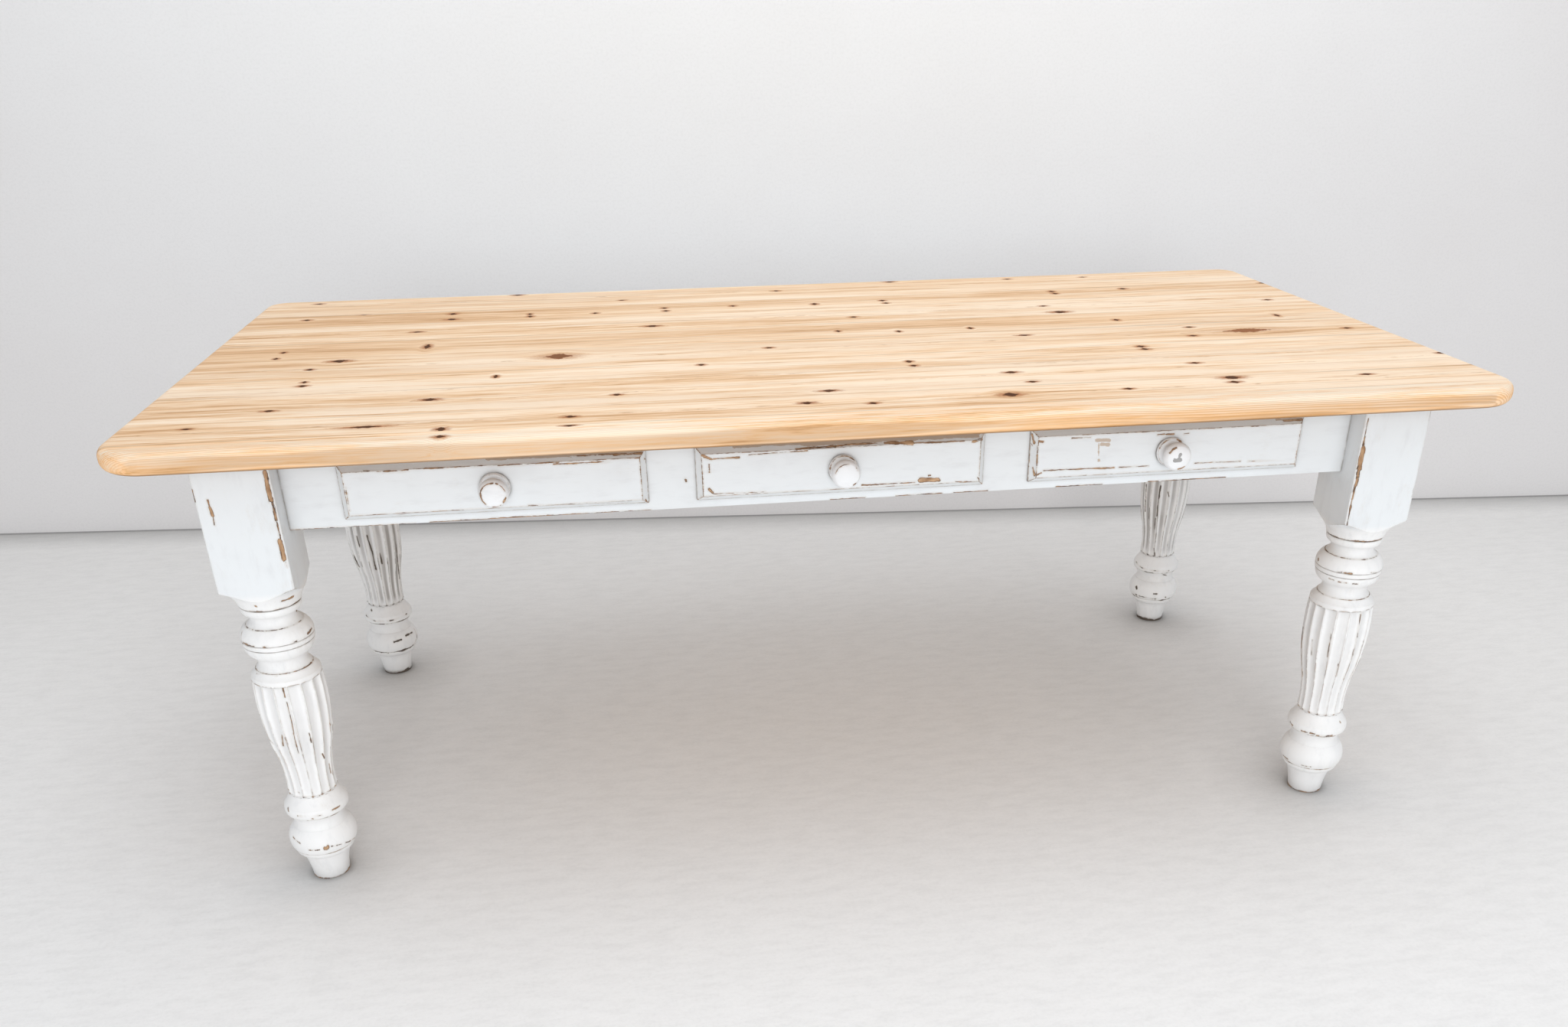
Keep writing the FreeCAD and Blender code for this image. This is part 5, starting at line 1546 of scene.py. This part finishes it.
@dataclass
class Drawers:
    """The three lipped drawers and their knobs.

    Args:
        nodes: The table's pieces by name.
        names: The drawers.
        box_parts: What each box is made of behind its front.
        bevel_width: From a front's outline to its raised field, in millimetres.
        bevel_depth: From the field's face back to the lip, in millimetres.
        arris_wear_and_shade: Half widths of the dark lines, worn paint and painted shade at once, in
            millimetres: the field's
        left, right, lower and upper edge, the lip's lower, left and right one, and the bevel's corners at
        the lower left, lower right, upper left and upper right.
        shade_reach: How far the painted shade beside a hollow and under the top's overhang goes, in
            metres.
        bare_wood: Bare wood of the fronts and knobs.
        bare_rim: The line round it.
        knob_lit_white: Paint of the knobs, whiter than the fronts' paint, which makes their faces brighter
            as painted light.
        knob_stain: The marks on the knobs' faces.
    """

    nodes: dict[str, bpy.types.Object]
    names: tuple[str, ...] = ("left_drawer", "centre_drawer", "right_drawer")
    box_parts: tuple[str, ...] = ("left_side", "right_side", "back", "bottom")
    bevel_width: float = 9.0
    bevel_depth: float = 13.0
    arris_wear_and_shade: tuple[float, ...] = (0.55, 0.40, 0.32, 0.35, 0.40, 0.40, 0.35, 0.45, 0.50, 0.45, 0.45)
    shade_reach: float = 0.014
    bare_wood: Colour = (0.66, 0.44, 0.27)
    bare_rim: Colour = (0.17, 0.10, 0.062)
    knob_lit_white: Colour = (0.940, 0.955, 0.970)
    knob_stain: Colour = (0.220, 0.210, 0.200)

    def build(self, shared: SharedGroups) -> None:
        """Paint the fronts and knobs and leave the boxes bare."""
        wood = Pine("drawer_pine", tone=0.35, pith_y=0, pith_depth=170, roughness=0.65,
                    underside_height=0.0)
        across = wood.build(shared)
        along = replace(wood, name="drawer_side_pine", fibres_along_y=True).build(shared)
        for name in self.names:
            front = f"{name}_front"
            self.paint(front, DRAWER_CHIPS[front] + self.outline(front), shared)
            self.paint(f"{name}_knob", self.knob_chips(f"{name}_knob"), shared)
            for part in self.box_parts:
                dress(self.nodes[f"{name}_{part}"], along if part.endswith("side") else across)
        log.info("drawers: %d", len(self.names))

    def paint(self, piece: str, chips: tuple[Chip, ...], shared: SharedGroups) -> None:
        """Paint one front or knob with its own chips and stains.

        Args:
            piece: The front or knob.
            chips: Its bare places.
            shared: The shared node groups.
        """
        paint = Paint(f"{piece}_paint", ALONG_X, chips=chips, stains=DRAWER_STAINS.get(piece, ()),
                      shade_reach=self.shade_reach, wood=self.bare_wood, rim=self.bare_rim)
        if piece.endswith("knob"):
            paint = replace(paint, white=self.knob_lit_white, stained=self.knob_stain)
        dress(self.nodes[piece], paint.build(shared))

    def outline(self, piece: str) -> tuple[Chip, ...]:
        """Return thin broken lines along the arrises of one front's field and lip: worn paint, and painted
        shade where the front meets the frame.
        """
        (left, face, low), _, (right, _, high) = box_mm(self.nodes[piece])
        lip = face + self.bevel_depth
        inside = self.bevel_width
        field_low = ((left + inside, face, low + inside), (right - inside, face, low + inside))
        field_high = ((left + inside, face, high - inside), (right - inside, face, high - inside))
        lip_low = ((left, lip, low), (right, lip, low))
        lip_high = ((left, lip, high), (right, lip, high))
        arrises = (
            *zip(field_high, field_low), field_low, field_high, lip_low, *zip(lip_high, lip_low),
            *zip(lip_low, field_low), *zip(lip_high, field_high),
        )
        return tuple(Chip(*ends, radius) for ends, radius in zip(arrises, self.arris_wear_and_shade))

    def knob_chips(self, piece: str) -> tuple[Chip, ...]:
        """Return the worn stretches of one knob's edges, set about its own axis."""
        low, centre, _ = box_mm(self.nodes[piece])
        return tuple(chip for arc in KNOB_WEAR[piece] for chip in arc.chips(centre, low.y))


# ---------------------------------------------------------------- room, light and camera


@dataclass
class Room:
    """A plain pale floor and the wall behind the table.

    Args:
        floor: The floor's finish.
        wall: The wall's finish.
        half_size: Half the floor's sides and half the wall's length, in metres.
        wall_y: Where the wall's foot crosses the table's middle, in metres.
        wall_turn: The wall's turn about Z, in degrees.
        wall_half_height: Half the wall's height, about the floor, in metres.
    """

    # Each sheet carries a painted pool of light; the floor also painted shadows by the feet, and the wall
    # a painted shade line at its foot.
    floor: Plaster = Plaster("floor_plaster", (0.990, 0.990, 0.988), (0.850, 0.840, 0.825),
                             (-0.9, -1.9), (3.3, 2.3), contact_shadows=((0.85, 0.15), (0.55, 0.014)),
                             streaks=0.08)
    wall: Plaster = Plaster("wall_plaster", (0.915, 0.930, 0.938), (0.795, 0.780, 0.778),
                            (-0.1, 2.0), (2.4, 1.6), foot_shade_height=0.0025, one_sided=True)
    half_size: float = 9.0
    wall_y: float = 1.276
    wall_turn: float = -5.5
    wall_half_height: float = 6.0

    def build(self) -> None:
        """Make the floor and the wall as staging."""
        floor = self.sheet("floor", self.half_size, self.half_size)
        dress(floor, self.floor.build())
        wall = self.sheet("wall", self.half_size, self.wall_half_height)
        wall.rotation_euler = (math.radians(90), 0.0, math.radians(self.wall_turn))
        wall.location = (0.0, self.wall_y, 0.0)
        dress(wall, self.wall.build())

    @staticmethod
    def sheet(name: str, half_x: float, half_y: float) -> bpy.types.Object:
        """Return a flat rectangle about the origin."""
        mesh = bpy.data.meshes.new(name)
        corners = [(-half_x, -half_y, 0), (half_x, -half_y, 0), (half_x, half_y, 0), (-half_x, half_y, 0)]
        mesh.from_pydata(corners, [], [(0, 1, 2, 3)])
        made = bpy.data.objects.new(name, mesh)
        bpy.context.scene.collection.objects.link(made)
        return made


@dataclass(frozen=True)
class Softbox:
    """A square lamp with a soft edge, aimed at a point.

    Args:
        name: The lamp's name.
        at: Where it hangs, in metres.
        aim: What it looks at, in metres.
        size: Its side, in metres.
        power: Its power, in watts.
        colour: Its light.
    """

    name: str
    at: Point
    aim: Point
    size: float
    power: float
    colour: Colour = COOL_WHITE

    def build(self) -> None:
        """Hang the lamp."""
        lamp = bpy.data.lights.new(self.name, "AREA")
        lamp.shape = "SQUARE"
        lamp.size = self.size
        lamp.energy = self.power
        lamp.color = self.colour
        made = bpy.data.objects.new(self.name, lamp)
        made.location = self.at
        made.rotation_euler = (Vector(self.aim) - Vector(self.at)).to_track_quat("-Z", "Y").to_euler()
        bpy.context.scene.collection.objects.link(made)


@dataclass(frozen=True)
class Studio:
    """Soft light from above and in front, and an even sky.

    Args:
        sky: The sky's strength.
        sky_colour: Its light.
        lamps: The lamps.
    """

    sky: float = 0.49
    sky_colour: Colour = COOL_WHITE
    lamps: tuple[Softbox, ...] = (
        Softbox("front_softbox", (1.2, -3.6, 3.4), (0.0, 0.0, 0.4), 3.2, 25.0),
        Softbox("top_softbox", (0.3, -0.4, 3.8), (0.0, 0.1, 0.0), 3.6, 50.0),
        Softbox("low_softbox", (-0.6, -7.0, 1.9), (0.0, 0.0, 0.5), 3.0, 150.0),
    )

    def build(self) -> None:
        """Light the scene."""
        world = bpy.data.worlds.new("studio")
        bpy.context.scene.world = world
        world.use_nodes = True
        ground = world.node_tree.nodes["Background"]
        ground.inputs["Color"].default_value = (*self.sky_colour, 1.0)
        ground.inputs["Strength"].default_value = self.sky
        for lamp in self.lamps:
            lamp.build()


@dataclass(frozen=True)
class Viewpoint:
    """The camera: where it stands, how it is turned and how its picture is framed.

    Args:
        at: Metres in the table's frame.
        yaw: Degrees from +Y towards -X.
        pitch: Degrees below the horizon.
        roll: Degrees to the right.
        focal: Focal length in pixels of a picture of the given width.
        width: Of that picture, in pixels.
        right_of_middle: Pixels that the optical axis lies right of the picture's middle.
        below_middle: Pixels that it lies below it.
        sensor: Width of the sensor, in millimetres.
        far_clip: How far it sees, in metres.
    """

    at: Point = (-0.3051, -2.3038, 1.2709)
    yaw: float = -7.703
    pitch: float = 28.465
    roll: float = -0.682
    focal: float = 1665.0
    width: float = 2048.0
    right_of_middle: float = 37.9
    below_middle: float = 264.8
    sensor: float = 36.0
    far_clip: float = 100.0

    def build(self) -> None:
        """Stand the camera and make it the scene's."""
        lens = bpy.data.cameras.new("camera")
        lens.sensor_fit = "HORIZONTAL"
        lens.sensor_width = self.sensor
        lens.lens = self.focal / self.width * self.sensor
        lens.shift_x = -self.right_of_middle / self.width
        lens.shift_y = self.below_middle / self.width
        lens.clip_end = self.far_clip
        made = bpy.data.objects.new("camera", lens)
        level = Matrix.Rotation(math.radians(90 - self.pitch), 4, "X")
        rolled = level @ Matrix.Rotation(math.radians(self.roll), 4, "Z")
        turned = Matrix.Rotation(math.radians(self.yaw), 4, "Z") @ rolled
        made.matrix_world = Matrix.Translation(self.at) @ turned
        bpy.context.scene.collection.objects.link(made)
        bpy.context.scene.camera = made


def main() -> None:
    """Build the looks of the table round its frame."""
    logging.basicConfig(level=logging.INFO, format="%(name)s: %(message)s")
    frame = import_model()
    nodes = frame["nodes"]
    scene = bpy.context.scene
    scene.view_settings.view_transform = "Standard"
    shared = SharedGroups()
    Tabletop(nodes).build(shared)
    Legs(nodes).build(shared)
    Frame(nodes).build(shared)
    Drawers(nodes).build(shared)
    Room().build()
    Studio().build()
    Viewpoint().build()


if __name__ == "__main__":
    main()
